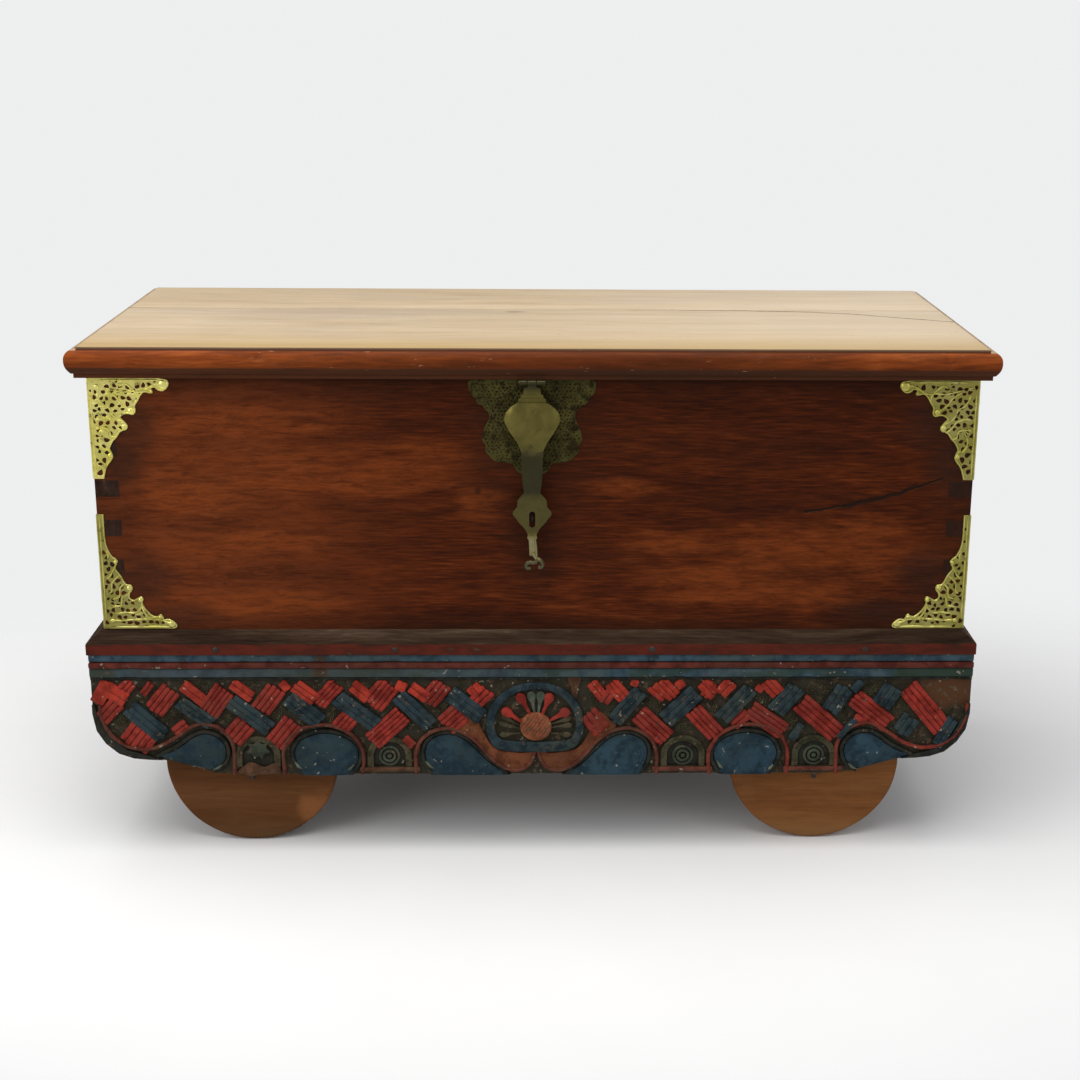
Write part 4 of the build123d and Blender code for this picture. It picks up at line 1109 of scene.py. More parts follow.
# %% Lay out the plait
BLUE_BLOCKS = [
    ((-594, 232), (-547, 187), 27, 3), ((-521, 240), (-475, 206), 22, 3), ((-447, 243), (-391, 198), 25, 3),
    ((-363, 247), (-317, 208), 27, 3), ((-291, 247), (-235, 203), 25, 3), ((-204, 252), (-156, 204), 25, 3),
    ((-126, 253), (-79, 215), 26, 3), ((114, 209), (153, 257), 23, 3), ((190, 210), (236, 256), 28, 3),
    ((273, 212), (315, 260), 24, 3), ((352, 224), (383, 262), 28, 3), ((432, 225), (455, 262), 26, 3),
    ((508, 233), (526, 262), 30, 3), ((539, 189), (555, 214), 27, 3), ((595, 169), (617, 212), 18, 2),
    ((377, 178), (391, 203), 12, 1), ((447, 182), (472, 212), 9, 1), ((466, 256), (478, 272), 12, 1)]
RED_BLOCKS = [
    ((-559, 226), (-531, 261), 31, 4), ((-481, 223), (-454, 260), 33, 5), ((-405, 226), (-378, 262), 31, 4),
    ((-320, 236), (-291, 268), 24, 4), ((-241, 234), (-214, 268), 35, 5), ((-161, 238), (-136, 268), 30, 4),
    ((-593, 170), (-572, 198), 46, 5), ((-448, 180), (-424, 208), 34, 4), ((-386, 172), (-356, 209), 33, 4),
    ((-290, 197), (-270, 220), 28, 4), ((-243, 176), (-196, 220), 31, 5), ((-134, 201), (-110, 224), 36, 5),
    ((-637, 212), (-610, 240), 24, 3), ((-609, 250), (-588, 272), 20, 3), ((-533, 191), (-513, 206), 17, 2),
    ((-573, 252), (-560, 270), 12, 2), ((-195, 184), (-181, 170), 13, 1), ((-92, 236), (-70, 258), 24, 3),
    ((149, 222), (193, 181), 31, 4), ((229, 228), (267, 186), 28, 4), ((76, 222), (98, 192), 30, 3),
    ((315, 228), (367, 191), 29, 4), ((287, 202), (309, 224), 26, 3), ((388, 239), (446, 187), 32, 4),
    ((467, 247), (521, 203), 29, 4), ((546, 263), (602, 196), 32, 4), ((98, 238), (114, 262), 16, 2),
    ((246, 248), (262, 270), 13, 2), ((470, 216), (488, 206), 13, 1)]
ORANGE_BLOCKS = [
    ((-641, 240), (-622, 272), 21, 1), ((-628, 263), (-599, 243), 24, 2), ((-515, 267), (-484, 240), 19, 2),
    ((-443, 269), (-414, 246), 18, 2), ((-352, 266), (-322, 242), 22, 3), ((-371, 270), (-361, 258), 13, 1),
    ((-269, 267), (-246, 246), 20, 2), ((-205, 268), (-191, 261), 15, 1), ((-185, 265), (-160, 246), 18, 2),
    ((-94, 264), (-84, 252), 20, 2), ((80, 271), (97, 248), 17, 2), ((108, 271), (129, 246), 22, 3),
    ((140, 271), (150, 266), 11, 1), ((168, 262), (190, 244), 15, 2), ((180, 272), (204, 247), 22, 3),
    ((207, 272), (215, 262), 14, 1), ((242, 271), (262, 250), 20, 2), ((270, 252), (287, 271), 20, 2),
    ((337, 272), (356, 252), 23, 3), ((322, 264), (332, 257), 11, 1)]
print("plait blocks", len(BLUE_BLOCKS) + len(RED_BLOCKS) + len(ORANGE_BLOCKS))


# %% Carve the plait
def strand(start, end, width, back, front, groove):
    """One round-topped strand between two points."""
    (x0, z0), (x1, z1) = start, end
    length = math.hypot(x1 - x0, z1 - z0)
    bm = block((-length / 2, front, -width / 2), (length / 2, back, width / 2), 5)
    soften(bm, min(width * 0.32, groove), 2, 60)
    swing(bm, "Y", -math.atan2(z1 - z0, x1 - x0))
    shift(bm, ((x0 + x1) / 2, 0, (z0 + z1) / 2))
    for vert in bm.verts:
        if vert.co.y < back - 0.001:
            vert.co += noise.noise_vector(vert.co * 75.0) * 0.7 * mm
    return bm


def plait(name, blocks, finish, proud, groove):
    bm = bmesh.new()
    for (x0, z0), (x1, z1), width, strands in blocks:
        along = Vector((x1 - x0, z1 - z0)).normalized()
        across = Vector((-along.y, along.x))
        each = width / strands
        for index in range(strands):
            aside = across * (each * (index + 0.5) - width / 2)
            slip = along * chance.uniform(-2.0, 2.0)
            ends = [((x + aside.x + slip.x) * mm, (z + aside.y + slip.y) * mm)
                    for x, z in ((x0, z0), (x1, z1))]
            front = front_y - proud - chance.uniform(0, 0.8) * mm
            lay(bm, strand(*ends, each * mm, sunk + 0.001, front, groove))
    keep_side(bm, (0, 0, field_top), (0, 0, -1))
    settle(bm, name, paint[finish], "chest", sharp=50)


plait("plait_blue", BLUE_BLOCKS, "blue_paint", 0.0185, 1.5 * mm)
plait("plait_red", RED_BLOCKS, "red_paint", 0.0172, 2.4 * mm)
plait("plait_bright", ORANGE_BLOCKS, "orange_paint", 0.0178, 1.8 * mm)
print("plait carved")

# %% [markdown]
# ## Punched flowers
# Between the blocks the carver filled the ground with small punched flowers and dots. They go
# wherever a spot of ground is left free, found by trying a jittered grid of places against the
# blocks already laid out.

# %% Punch the ground
grid_step, grid_columns, grid_rows, grid_foot = 7.0, range(-90, 91), range(12), 190


def free_ground(x, z, margin):
    """Whether a spot is clear of everything that stands on the ground, in millimetres."""
    wide = abs(x)
    rosette, border, bands, arches = wide < 78, wide > 632, z > 268, z < 192
    ovals, teardrops, waves = z < 207 and abs(wide - 312) < 66, z < 208 and wide > 440, z < 204 and wide < 180
    bare_corner = x > 566 and z > 226
    if rosette or border or bands or arches or ovals or teardrops or waves or bare_corner:
        return False
    return all(gap_to((x, z), start, end) > width / 2 + margin
               for start, end, width, _ in BLUE_BLOCKS + RED_BLOCKS + ORANGE_BLOCKS)


punched, dots = bmesh.new(), 0
for column in grid_columns:
    for row in grid_rows:
        x = column * grid_step + chance.uniform(-2.5, 2.5)
        z = grid_foot + row * grid_step + chance.uniform(-2.0, 2.0)
        if not free_ground(x, z, 0.5):
            continue
        petals = 5 if free_ground(x, z, 3.5) else 0
        spots = [(x * mm, z * mm, 1.5)]
        for angle in (math.tau * (k + 0.4) / 5 for k in range(petals)):
            spots.append((x * mm + 3.1 * mm * math.cos(angle), z * mm + 3.1 * mm * math.sin(angle), 1.7))
        for dot_x, dot_z, radius in spots:
            dot = bmesh.new()
            bmesh.ops.create_uvsphere(dot, u_segments=7, v_segments=5, radius=radius * mm)
            shift(dot, (dot_x, sunk - 0.2 * mm, dot_z))
            lay(punched, dot)
            dots += 1
bmesh.ops.scale(punched, vec=(1, 0.9, 1), verts=punched.verts, space=Matrix.Translation((0, -sunk, 0)))
settle(punched, "punched_flowers", paint["olive_paint"], "chest", sharp=80)
print("punched dots", dots)

# %% [markdown]
# ## Lunettes, waves and the border
# Along the foot run swelling blue shapes: a teardrop at each end, two ovals and a wave either side
# of the middle. Each has a dark sunk rim, near black for its own paint and for a painted shade of the
# groove, and a thin raised line of faded red round it, and all are cut off by the board's edge. The
# outlines are smooth lines through a few measured points.

# %% Draw the lunettes
TEARDROP = [(-556, 156), (-540, 160), (-522, 170), (-508, 181), (-493, 188.5), (-478, 188), (-465, 180),
            (-458, 167), (-459, 152), (-467, 140), (-478, 134), (-492, 136.5), (-512, 142), (-534, 148)]
OVAL = [(-334, 117), (-350, 137), (-356, 158), (-349, 176), (-333, 186), (-310, 190), (-287, 185),
        (-269, 173), (-263, 156), (-269, 138), (-286, 117)]
WAVE = [(-140, 117), (-158, 138), (-164, 158), (-159, 175), (-146, 185), (-127, 188), (-109, 181),
        (-92, 166), (-76, 149), (-58, 134), (-34, 117)]
TEARDROP_LINE = [(-637, 236), (-635, 214), (-624, 190), (-603, 172), (-575, 166), (-549, 173), (-522, 190),
                 (-502, 203), (-485, 206), (-466, 200), (-451, 184), (-445, 164), (-446, 126)]
OVAL_LINE = [(-372, 126), (-373, 158), (-366, 179), (-352, 194), (-332, 202), (-310, 204), (-288, 198),
             (-270, 186), (-259, 170), (-255, 152), (-257, 126)]
WAVE_LINE = [(-178, 126), (-178, 158), (-170, 179), (-153, 193), (-131, 198), (-111, 193), (-91, 179),
             (-73, 158), (-56, 141), (-37, 132), (-19, 134), (-8, 145), (-2, 162)]
WAVE_FIELD = [(-118, 200), (-108, 212), (-92, 224), (-85, 208), (-77, 190), (-68, 174), (-57, 165),
              (-39, 161), (-18, 159), (-3, 165), (-8, 146), (-19, 135), (-37, 133), (-56, 142), (-73, 159),
              (-91, 180)]
RIM_FLECKS = [(-477, 133, -463, 141), (-357, 146, -346, 134), (-281, 131, -269, 141), (-164, 146, -149, 133),
              (136, 134, 152, 134), (268, 146, 281, 131), (345, 131, 352, 139), (464, 141, 479, 131)]
rim_points = 11
print("lunettes drawn with", len(TEARDROP + OVAL + WAVE), "points")


# %% Helpers for low relief
def both_sides(points):
    return [in_metres(points), in_metres(points, mirrored=True)]


def trimmed(bm):
    """Cuts relief off at the board's level edge."""
    keep_side(bm, (0, 0, apron_foot + 0.0004), (0, 0, 1))
    return bm


def swelling(outline, back, front, rise):
    """A cushion: a flat shape whose middle stands higher than its rim."""
    bm = trimmed(flat_shape([outline], back, front + rise, 0.8 * mm))
    bmesh.ops.triangulate(bm, faces=bm.faces)
    for reach in (2.2, 5.0, 9.0):
        inner = [p for p in shrink(outline, reach * mm) if inside(p, outline)
                 and edge_gap(p, outline) > reach * 0.9 * mm]
        lift = rise * (reach / 9.0) ** 0.6
        lay(bm, trimmed(flat_shape([inner], back, front + rise - lift, 1.6 * mm)))
    return bm


def raise_shape(target, loops, proud, edge):
    """Leaves a shape standing on the sunk ground; `proud` is how far its face stands before the carcass."""
    lay(target, flat_shape(loops, sunk + 0.001, front_y - proud, edge * mm))


def finish_relief(pieces, depth, grain):
    """Knocks every piece about a little and sets it in its paint: (mesh, name, paint, sharp edges)."""
    for bm, *_ in pieces:
        roughen(bm, depth, grain)
    for bm, name, finish, sharp in pieces:
        settle(bm, name, paint[finish], "chest", sharp=sharp)


# %% Carve the lunettes
lunettes, rims, lines, red_lines, waves, flecks = (bmesh.new() for _ in range(6))
for outline, outer in ((TEARDROP, TEARDROP_LINE), (OVAL, OVAL_LINE), (WAVE, WAVE_LINE)):
    for index, (form, line) in enumerate(zip(both_sides(outline), both_sides(outer))):
        lay(lunettes, swelling(on_board(flowing(form, 6)), sunk + 0.001, front_y - 0.018, 2.2 * mm))
        rim = flowing(shrink(form, -4.0 * mm)[:rim_points], 6, closed=False)
        # the rim bead is painted near black: dark paint, and a painted shade of the groove round the shape
        lay(rims, trimmed(bead(rim, 4.2 * mm, sunk, 1.05)))
        lay(red_lines if index and outline is not WAVE else lines,
            trimmed(bead(flowing(line, 6, closed=False), 3.1 * mm, front_y - 0.015, 1.45)))
for field in both_sides(WAVE_FIELD):
    raise_shape(waves, [flowing(field, 4)], 0.0165, 1.5)
for x0, z0, x1, z1 in RIM_FLECKS:
    path = in_metres([(x0, z0), ((x0 + x1) / 2 - 1, (z0 + z1) / 2 - 1.5), (x1, z1)])
    lay(flecks, bead(path, 2.6 * mm, sunk - 0.003, 1.0, thin_ends=True))
finish_relief([(lunettes, "lunettes", "deep_blue_paint", 60), (rims, "lunette_rims", "dark_paint", 60),
               (lines, "lunette_lines", "pink_paint", 70),
               (red_lines, "lunette_lines_red", "line_red_paint", 70),
               (waves, "wave_fields", "wave_paint", 60), (flecks, "rim_flecks", "pale_paint", 70)],
              0.5 * mm, 70.0)
print("lunettes carved")

# %% [markdown]
# ## Border, arches and rosette
# A dark border follows the round corners. Between the lunettes stand small arches with a leaf or a
# ringed boss, each over a little sill. In the middle a shell rosette has a blue ring, four
# club-shaped red petals, two pale ones, six small leaves and an orange hub scored with slanting cuts.

# %% Carve the border and the arches
BORDER = [(644.6, 236), (644.6, 222), (640, 196), (628, 176), (610, 160), (588, 152.2), (566, 150.4),
          (546, 149.4), (568, 156.5), (598, 166), (618, 184), (631, 206), (638, 224), (641, 236)]
LEAF = [(0, 14), (7, 10), (15, 12), (12, 4), (18, -3), (9, -6), (6, -14), (0, -9), (-6, -14), (-9, -6),
        (-18, -3), (-12, 4), (-15, 12), (-7, 10)]
ARCHES = {-410: "leaf", -217: "boss", 217: "boss", 412: "boss"}
arch_half, arch_springing, arch_foot, sill = 27.5, 156.0, 137.0, (129.5, 136.5)


def arch_outline(half, rise):
    crown = [(half * math.cos(a), arch_springing + rise * math.sin(a))
             for a in (math.pi * k / 14 for k in range(15))]
    return [(half, arch_foot)] + crown + [(-half, arch_foot)]


border, arch_frames, arch_fields, bosses, tan_sills, red_sills = (bmesh.new() for _ in range(6))
for mirrored in (False, True):
    raise_shape(border, [in_metres(BORDER, base_x, mirrored)], 0.0185, 1.2)
for middle, motif in ARCHES.items():
    outer = in_metres(arch_outline(arch_half + 5.5, 30.0), middle * mm)
    inner = in_metres(arch_outline(arch_half - 2.5, 23.0), middle * mm)
    raise_shape(arch_frames, [outer, inner], 0.0162, 1.4)
    raise_shape(arch_fields, [inner], 0.0132, 0.5)
    for angle in (math.pi * k / 16 for k in range(17)):
        x, z = middle + (arch_half + 1.5) * math.cos(angle), arch_springing + 26.5 * math.sin(angle)
        lay(arch_frames, pebble((x * mm, z * mm), 1.7 * mm, front_y - 0.0162, 1.2 * mm))
    if motif == "leaf":
        leaf = [(middle * mm + x * mm, 0.164 + z * mm) for x, z in LEAF]
        raise_shape(bosses, [flowing(leaf, 3)], 0.0178, 1.2)
        continue
    centre = (middle * mm, 0.1545)
    for radius, proud in ((16.0, 0.0165), (10.0, 0.0178)):
        raise_shape(bosses, [ring_points(centre, r * mm) for r in (radius, radius - 4.2)], proud, 1.5)
    raise_shape(bosses, [ring_points(centre, 3.6 * mm, 12)], 0.0168, 1.0)
    reach = arch_half + 17.0
    lay(red_sills if middle > 0 else tan_sills,
        block((centre[0] - reach * mm, front_y - 0.0176, sill[0] * mm),
              (centre[0] + reach * mm, sunk + 0.001, sill[1] * mm), 16))
for bm in (tan_sills, red_sills):
    soften(bm, 1.8 * mm)
finish_relief([(border, "corner_border", "dark_paint", 60), (arch_frames, "arch_frames", "olive_paint", 60),
               (arch_fields, "arch_fields", "dark_paint", 60), (bosses, "arch_motifs", "moss_paint", 60),
               (tan_sills, "arch_sills_tan", "tan_paint", 60),
               (red_sills, "arch_sills_red", "pink_paint", 60)], 0.5 * mm, 80.0)
tan_patches = bmesh.new()
for proud, form in ((0.015, [(46, 280), (66, 279), (62, 262), (60, 246), (52, 244), (50, 262)]),
                    (0.0165, [(-438, 127), (-381, 127), (-384, 144), (-402, 137), (-420, 145), (-434, 137)])):
    raise_shape(tan_patches, [flowing(in_metres(form), 3)], proud, 1.2)
settle(tan_patches, "tan_patches", paint["tan_paint"], "chest", sharp=60)
print("arches", len(ARCHES))

# %% Draw the rosette
ROSETTE_OUTER = [(-58, 166), (-71, 185), (-74, 210), (-67, 233), (-53, 251), (-33, 264), (-8, 270),
                 (17, 269), (40, 260), (58, 243), (68, 220), (69, 196), (64, 178), (51, 165), (20, 161),
                 (-20, 161)]
ROSETTE_INNER = [(-50, 180), (-60, 192), (-61, 211), (-56, 229), (-45, 243), (-30, 254), (-8, 259),
                 (14, 259), (34, 250), (49, 235), (57, 217), (57, 197), (48, 180), (20, 177), (-20, 177)]
PETALS = [((-22, 209), (-49, 227), "red"), ((-9, 221), (-26, 252), "red"), ((9, 221), (21, 252), "red"),
          ((21, 211), (47, 226), "red"), ((-3, 223), (-8, 255), "pale"), ((3, 223), (7, 255), "pale"),
          ((-24, 198), (-54, 205), "leaf"), ((-24, 190), (-53, 187), "leaf"),
          ((22, 199), (52, 203), "leaf"), ((22, 190), (50, 187), "leaf"), ((-24, 203), (-50, 217), "leaf"),
          ((20, 204), (50, 214), "leaf")]
PETAL_SIZES = {"red": (7.2, 0.018), "pale": (6.4, 0.0166), "leaf": (4.4, 0.016)}
hub_centre, hub_radius, score_pitch, score_angle = (-1.0, 201.0), 23.5, 4.6, 0.95


def club(base, tip, width):
    """A petal: narrow at its foot and round at its head."""
    along = Vector((tip[0] - base[0], tip[1] - base[1]))
    across = Vector((-along.y, along.x)).normalized()
    form = [(0.0, 0.25), (0.45, 0.42), (0.75, 1.0), (0.95, 0.85), (1.06, 0.0)]
    form += [(a, -b) for a, b in reversed(form[:-1])]
    return flowing([tuple(base[i] + along[i] * a + across[i] * b * width for i in (0, 1))
                    for a, b in form], 3)


print("rosette petals", len(PETALS))

# %% Carve the rosette
ring, petals, pale, leaves, hub = (bmesh.new() for _ in range(5))
raise_shape(ring, [in_metres(flowing(ROSETTE_OUTER, 4)), in_metres(flowing(ROSETTE_INNER, 4))], 0.0192, 2.2)
for base, tip, kind in PETALS:
    width, proud = PETAL_SIZES[kind]
    target = {"red": petals, "pale": pale, "leaf": leaves}[kind]
    raise_shape(target, [in_metres(club(base, tip, width))], proud, 1.3)
raise_shape(hub, [in_metres(ring_points(hub_centre, hub_radius, 18, 0.96))], 0.0182, 2.0)
slant = Vector((math.cos(score_angle), math.sin(score_angle)))
for offset in (score * score_pitch for score in range(-4, 5)):
    half = math.sqrt(max(hub_radius ** 2 - offset ** 2, 0.0)) * 0.86
    middle = Vector(hub_centre) + Vector((-slant.y, slant.x)) * offset
    path = in_metres([tuple(middle + slant * half * end) for end in (-1, 0, 1)])
    lay(hub, bead(path, 1.5 * mm, front_y - 0.0182, 0.9, thin_ends=True))
finish_relief([(ring, "rosette_ring", "blue_paint", 60), (petals, "rosette_petals", "red_paint", 60),
               (pale, "rosette_pale_petals", "faded_paint", 60),
               (leaves, "rosette_leaves", "olive_paint", 60),
               (hub, "rosette_hub", "hub_paint", 60)], 0.3 * mm, 90.0)
print("rosette carved")

# %% [markdown]
# ## Pierced brass corner mounts
# A mount is one sheet of brass wrapped round the front corner, cut in scallops, pierced with small
# drops and chased so that leafy stems stand up between the holes. One flange is drawn in its own
# frame, u inwards from the corner and v away from the mount's level end. The other flange is its
# mirror image in the fold, and the right-hand mounts mirror the left.

# %% Draw the mounts
UPPER_EDGE = [(0, 0), (100, 0), (110, 2), (112.5, 8), (110, 14), (104, 18.5), (97, 17.5), (92.5, 13.5),
              (88, 15), (90, 19.5), (87, 22), (78, 20.5), (73, 25), (69, 32), (64, 40), (64.5, 47),
              (61, 52.5), (54, 51.5), (48, 52), (43, 56), (48, 62), (52, 68), (50, 74), (44, 75.5),
              (40, 79), (36, 85), (31, 90), (28, 95), (25.5, 101), (27.5, 107), (29, 113), (26, 119),
              (22, 124), (18.5, 130), (16, 138), (14, 145), (0, 145)]
LOWER_EDGE = [(0, 0), (98, 0), (104, 2), (104, 7), (99, 12), (93, 15), (87, 14.5), (84.5, 20), (80.5, 22.5),
              (77, 18), (71, 20), (65, 25.5), (60, 32), (57, 39), (58.5, 45), (55, 49), (49, 46.5),
              (43, 44), (39, 48), (40, 54), (44, 60), (42, 66.5), (36, 67.5), (32, 73), (29, 80), (25, 86),
              (21.5, 91), (23, 97), (25.5, 102), (22.5, 106.5), (18, 110), (14, 117), (11, 126), (9.5, 140),
              (9.5, 172), (0, 172)]
UPPER_STEMS = [
    [(104, 9), (96, 8), (88, 11), (79, 17), (70, 20), (60, 19), (50, 20), (42, 19), (34, 17), (26, 15)],
    [(98, 3), (84, 3.2), (66, 3), (48, 3.2), (30, 3), (12, 3.4)],
    [(62, 46), (55, 44), (48, 40), (42, 34), (38, 27), (30, 21), (24, 18)],
    [(68, 30), (66, 22), (60, 14), (51, 8), (44, 12)],
    [(50, 68), (43, 62), (36, 58), (30, 50), (28, 43), (20, 38), (14, 30), (12, 22)],
    [(44, 76), (38, 72), (28, 60), (16, 56), (9, 57)], [(36, 85), (28, 84), (25, 74), (14, 72), (7, 73)],
    [(28, 112), (22, 103), (18, 104), (12, 96), (12, 86), (18, 74)],
    [(3, 142), (3.2, 110), (3, 80), (3.2, 50), (3, 20)]]
LOWER_STEMS = [
    [(98, 7), (90, 10), (80, 14), (70, 14), (60, 15), (52, 14), (44, 14), (34, 13), (24, 12), (14, 13)],
    [(96, 2.6), (70, 2.8), (44, 2.6), (16, 2.8)],
    [(56, 44), (54, 32), (44, 24), (34, 25), (26, 24), (16, 23)],
    [(80, 19), (72, 17), (64, 17), (58, 26), (56, 33)],
    [(42, 62), (36, 52), (28, 48), (26, 36), (18, 34), (12, 33)], [(34, 70), (26, 62), (24, 49), (14, 45)],
    [(27, 82), (15, 70), (14, 58), (10, 54)], [(24, 100), (18, 90), (14, 82), (8, 76)],
    [(3, 168), (3.2, 140), (3, 100), (3.2, 60), (3, 16)], [(9, 120), (12, 110), (10, 105)]]
UPPER_LOBES = [(104.5, 8.5, 7.0), (57, 46.5, 4.2), (47, 69, 3.8), (24.5, 111, 3.4), (87.5, 18.5, 2.4)]
LOWER_LOBES = [(97, 6.5, 5.4), (54, 44, 3.6), (38.5, 62, 3.6), (21.5, 101, 3.0), (81, 17.5, 3.2)]
MOUNTS = {"upper": (UPPER_EDGE, UPPER_STEMS, UPPER_LOBES), "lower": (LOWER_EDGE, LOWER_STEMS, LOWER_LOBES)}
sheet = 1.0 * mm
print("stems drawn", len(UPPER_STEMS + LOWER_STEMS))


# %% Helpers for pierced sheet
DROP = [(0.52, 0.3), (0.22, 0.46), (-0.15, 0.5), (-0.4, 0.28), (-0.46, -0.05), (-0.36, -0.38),
        (-0.1, -0.46), (0.2, -0.2)]


def drop_hole(u, v, turn, length, width):
    """A small pierced drop, bent like a comma and pointed at one end."""
    c, s = math.cos(turn), math.sin(turn)
    return [(u + a * length * c - b * width * s, v + a * length * s + b * width * c) for a, b in DROP]


def pierce(outline, pitch, border, taken=(), fill=0.9, plump=0.86):
    """Drop holes over the whole outline, each as large as its neighbours and the edge allow."""
    wide, high = (max(p[i] for p in outline) for i in (0, 1))
    places = []
    for row in range(int(high / pitch) + 2):
        for column in range(int(wide / pitch) + 2):
            place = (column * pitch + (row % 2) * pitch / 2 + chance.uniform(-0.22, 0.22) * pitch + 1.5,
                     row * pitch * 0.88 + chance.uniform(-0.22, 0.22) * pitch + 2.0)
            room = edge_gap(place, outline) - border
            if inside(place, outline) and room > 1.2 and all(math.dist(place, t[:2]) > t[2] for t in taken):
                places.append((place, room))
    holes = []
    for place, room in places:
        near = min((math.dist(place, other) for other, _ in places if other is not place), default=pitch)
        length = min(1.0 * pitch, fill * near, 2.4 * room)
        turn = 2.2 * noise.noise(Vector((*place, 0.0)) * 0.05) * math.pi + chance.uniform(-0.5, 0.5)
        holes.append(drop_hole(*place, turn, length, length * plump))
    return holes


def ripple(bm, face, grain, depth):
    """Lets the front of a sheet rise and fall a little."""
    for vert in bm.verts:
        if vert.co.y < face:
            vert.co.y += noise.noise(vert.co * grain) * depth


def chased_sheet(edge, stems, lobes, place):
    """One flange: place turns (u, v) in millimetres into (x, z) in metres."""
    face = front_y - sheet
    outline = [place(*p) for p in edge]
    rounded = outline[:2] + flowing(outline[1:-1], 3, closed=False)[1:] + outline[-1:]
    holes = pierce(edge, 10.0, 1.6, [(u, v, radius + 2.0) for u, v, radius in lobes] + [(12, 12, 5.5)])
    bm = flat_shape([rounded] + [[place(*p) for p in hole] for hole in holes], front_y, face, 0.25 * mm)
    for stem in stems:
        path = [place(*p) for p in flowing(stem, 4, closed=False)]
        for start in range(0, len(path) - 3, 6):
            lay(bm, bead(path[start:start + 8], chance.uniform(1.5, 2.1) * mm, face, 0.8, thin_ends=True))
    scallops = [place(*p) for p in flowing(shrink(edge, 1.3)[1:-1], 3, closed=False)]
    lay(bm, bead(scallops, 1.4 * mm, face, 0.8))
    for u, v, radius in lobes:
        lay(bm, pebble(place(u, v), radius * mm, face, 2.2 * mm))
    ripple(bm, face + 1e-5, 160.0, 0.3 * mm)
    return bm, len(holes)


def fold_over(flange):
    """The second flange, mirrored in the upright plane through the fold."""
    side = flange.copy()
    for vert in side.verts:
        out, along = vert.co.y - front_y, vert.co.x + half_length
        vert.co.x, vert.co.y = out - half_length, along + front_y
    return side


# %% Hang the mounts
def corner_mount(row, mirrored):
    node = f"corner_mount_{row}_{'right' if mirrored else 'left'}"
    low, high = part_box(node)
    level, up = (high.z, -1) if row == "upper" else (low.z, 1)
    whole, holes = chased_sheet(*MOUNTS[row], lambda u, v: (-half_length + u * mm, level + up * v * mm))
    lay(whole, fold_over(whole))
    fold = block((-half_length - 1.6 * mm, front_y - 1.6 * mm, low.z),
                 (-half_length + 0.3 * mm, front_y + 0.3 * mm, high.z), 14, 2)
    soften(fold, 1.1 * mm, 3)
    roughen(fold, 0.3 * mm, 60.0)
    lay(whole, fold)
    if mirrored:
        stretch(whole, (-1, 1, 1))
    settle(whole, node + "_chased", mount_brass, "chest", (node,), 32)
    return holes * 2


pierced = sum(corner_mount(row, mirrored) for row in MOUNTS for mirrored in (False, True))
print("holes pierced in the corner mounts:", pierced)

# %% [markdown]
# ## Nail heads
# The nails are hand-forged: a low faceted dome, never quite round. Each head is a small sphere
# squashed and knocked about, set over the construction model's own nail.

# %% Set the nail heads
def nail_head(place, axis, radius, height):
    bm = bmesh.new()
    bmesh.ops.create_uvsphere(bm, u_segments=9, v_segments=6, radius=radius)
    stretch(bm, (1, 1, height / radius))
    roughen(bm, 0.45 * mm, 200.0)
    face_along(bm, axis)
    shift(bm, place)
    return bm


LEDGE_NAILS = (-0.4635, -0.2045, 0.1685, 0.4795)
brads, ledge_nails = bmesh.new(), bmesh.new()
for side in (-1, 1):
    for row in MOUNTS:
        low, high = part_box(f"corner_mount_{row}_left")
        z = high.z - 0.012 if row == "upper" else low.z + 0.012
        for place, axis in (((side * (half_length - 0.012), front_y - 0.0012, z), (0, -1, 0)),
                            ((side * (half_length + 0.0012), front_y + 0.012, z), (side, 0, 0))):
            lay(brads, nail_head(place, axis, 3.4 * mm, 1.7 * mm))
for x in LEDGE_NAILS:
    lay(ledge_nails, nail_head((x, front_y - 0.0213, apron_top + 0.0085), (0, -1, 0), 4.6 * mm, 1.6 * mm))
settle(brads, "mount_brads", mount_brass, "chest", ("corner_mount_nails",))
settle(ledge_nails, "ledge_nail_heads", iron, "chest", ("cornice_nails",))
print("nail heads set")

# %% [markdown]
# ## Lock plate
# Behind the hasp lies a dark pierced plate shaped like a moth: two wings under the lid, a waist and
# two round lobes that meet in a point. Its openwork is finer than the corner mounts' and nearly
# closed with old polish.

# %% Cut the lock plate
lock_low, lock_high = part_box("lock_plate")
lock_x = (lock_low.x + lock_high.x) / 2
PLATE_HALF = [(0, 0), (84, 0), (89, 3), (89.5, 11), (87, 20), (80, 26), (78, 33), (71, 35), (67, 42),
              (62, 47), (60.5, 54), (63, 61), (67, 69), (69.5, 78), (70.5, 88), (66, 96), (66, 104),
              (60, 111), (54, 117), (47, 119), (36, 120.5), (28, 122), (25, 127), (21, 133), (14, 137),
              (6, 139), (0, 141)]
HASP_SHADE = [(0, 60, 14.0), (0, 90, 12.0), (0, 30, 16.0)]
SCROLLS = [((44, 84), 1.0, 0.92), ((66, 20), -1.0, 0.62)]
plate_face = front_y - 1.2 * mm


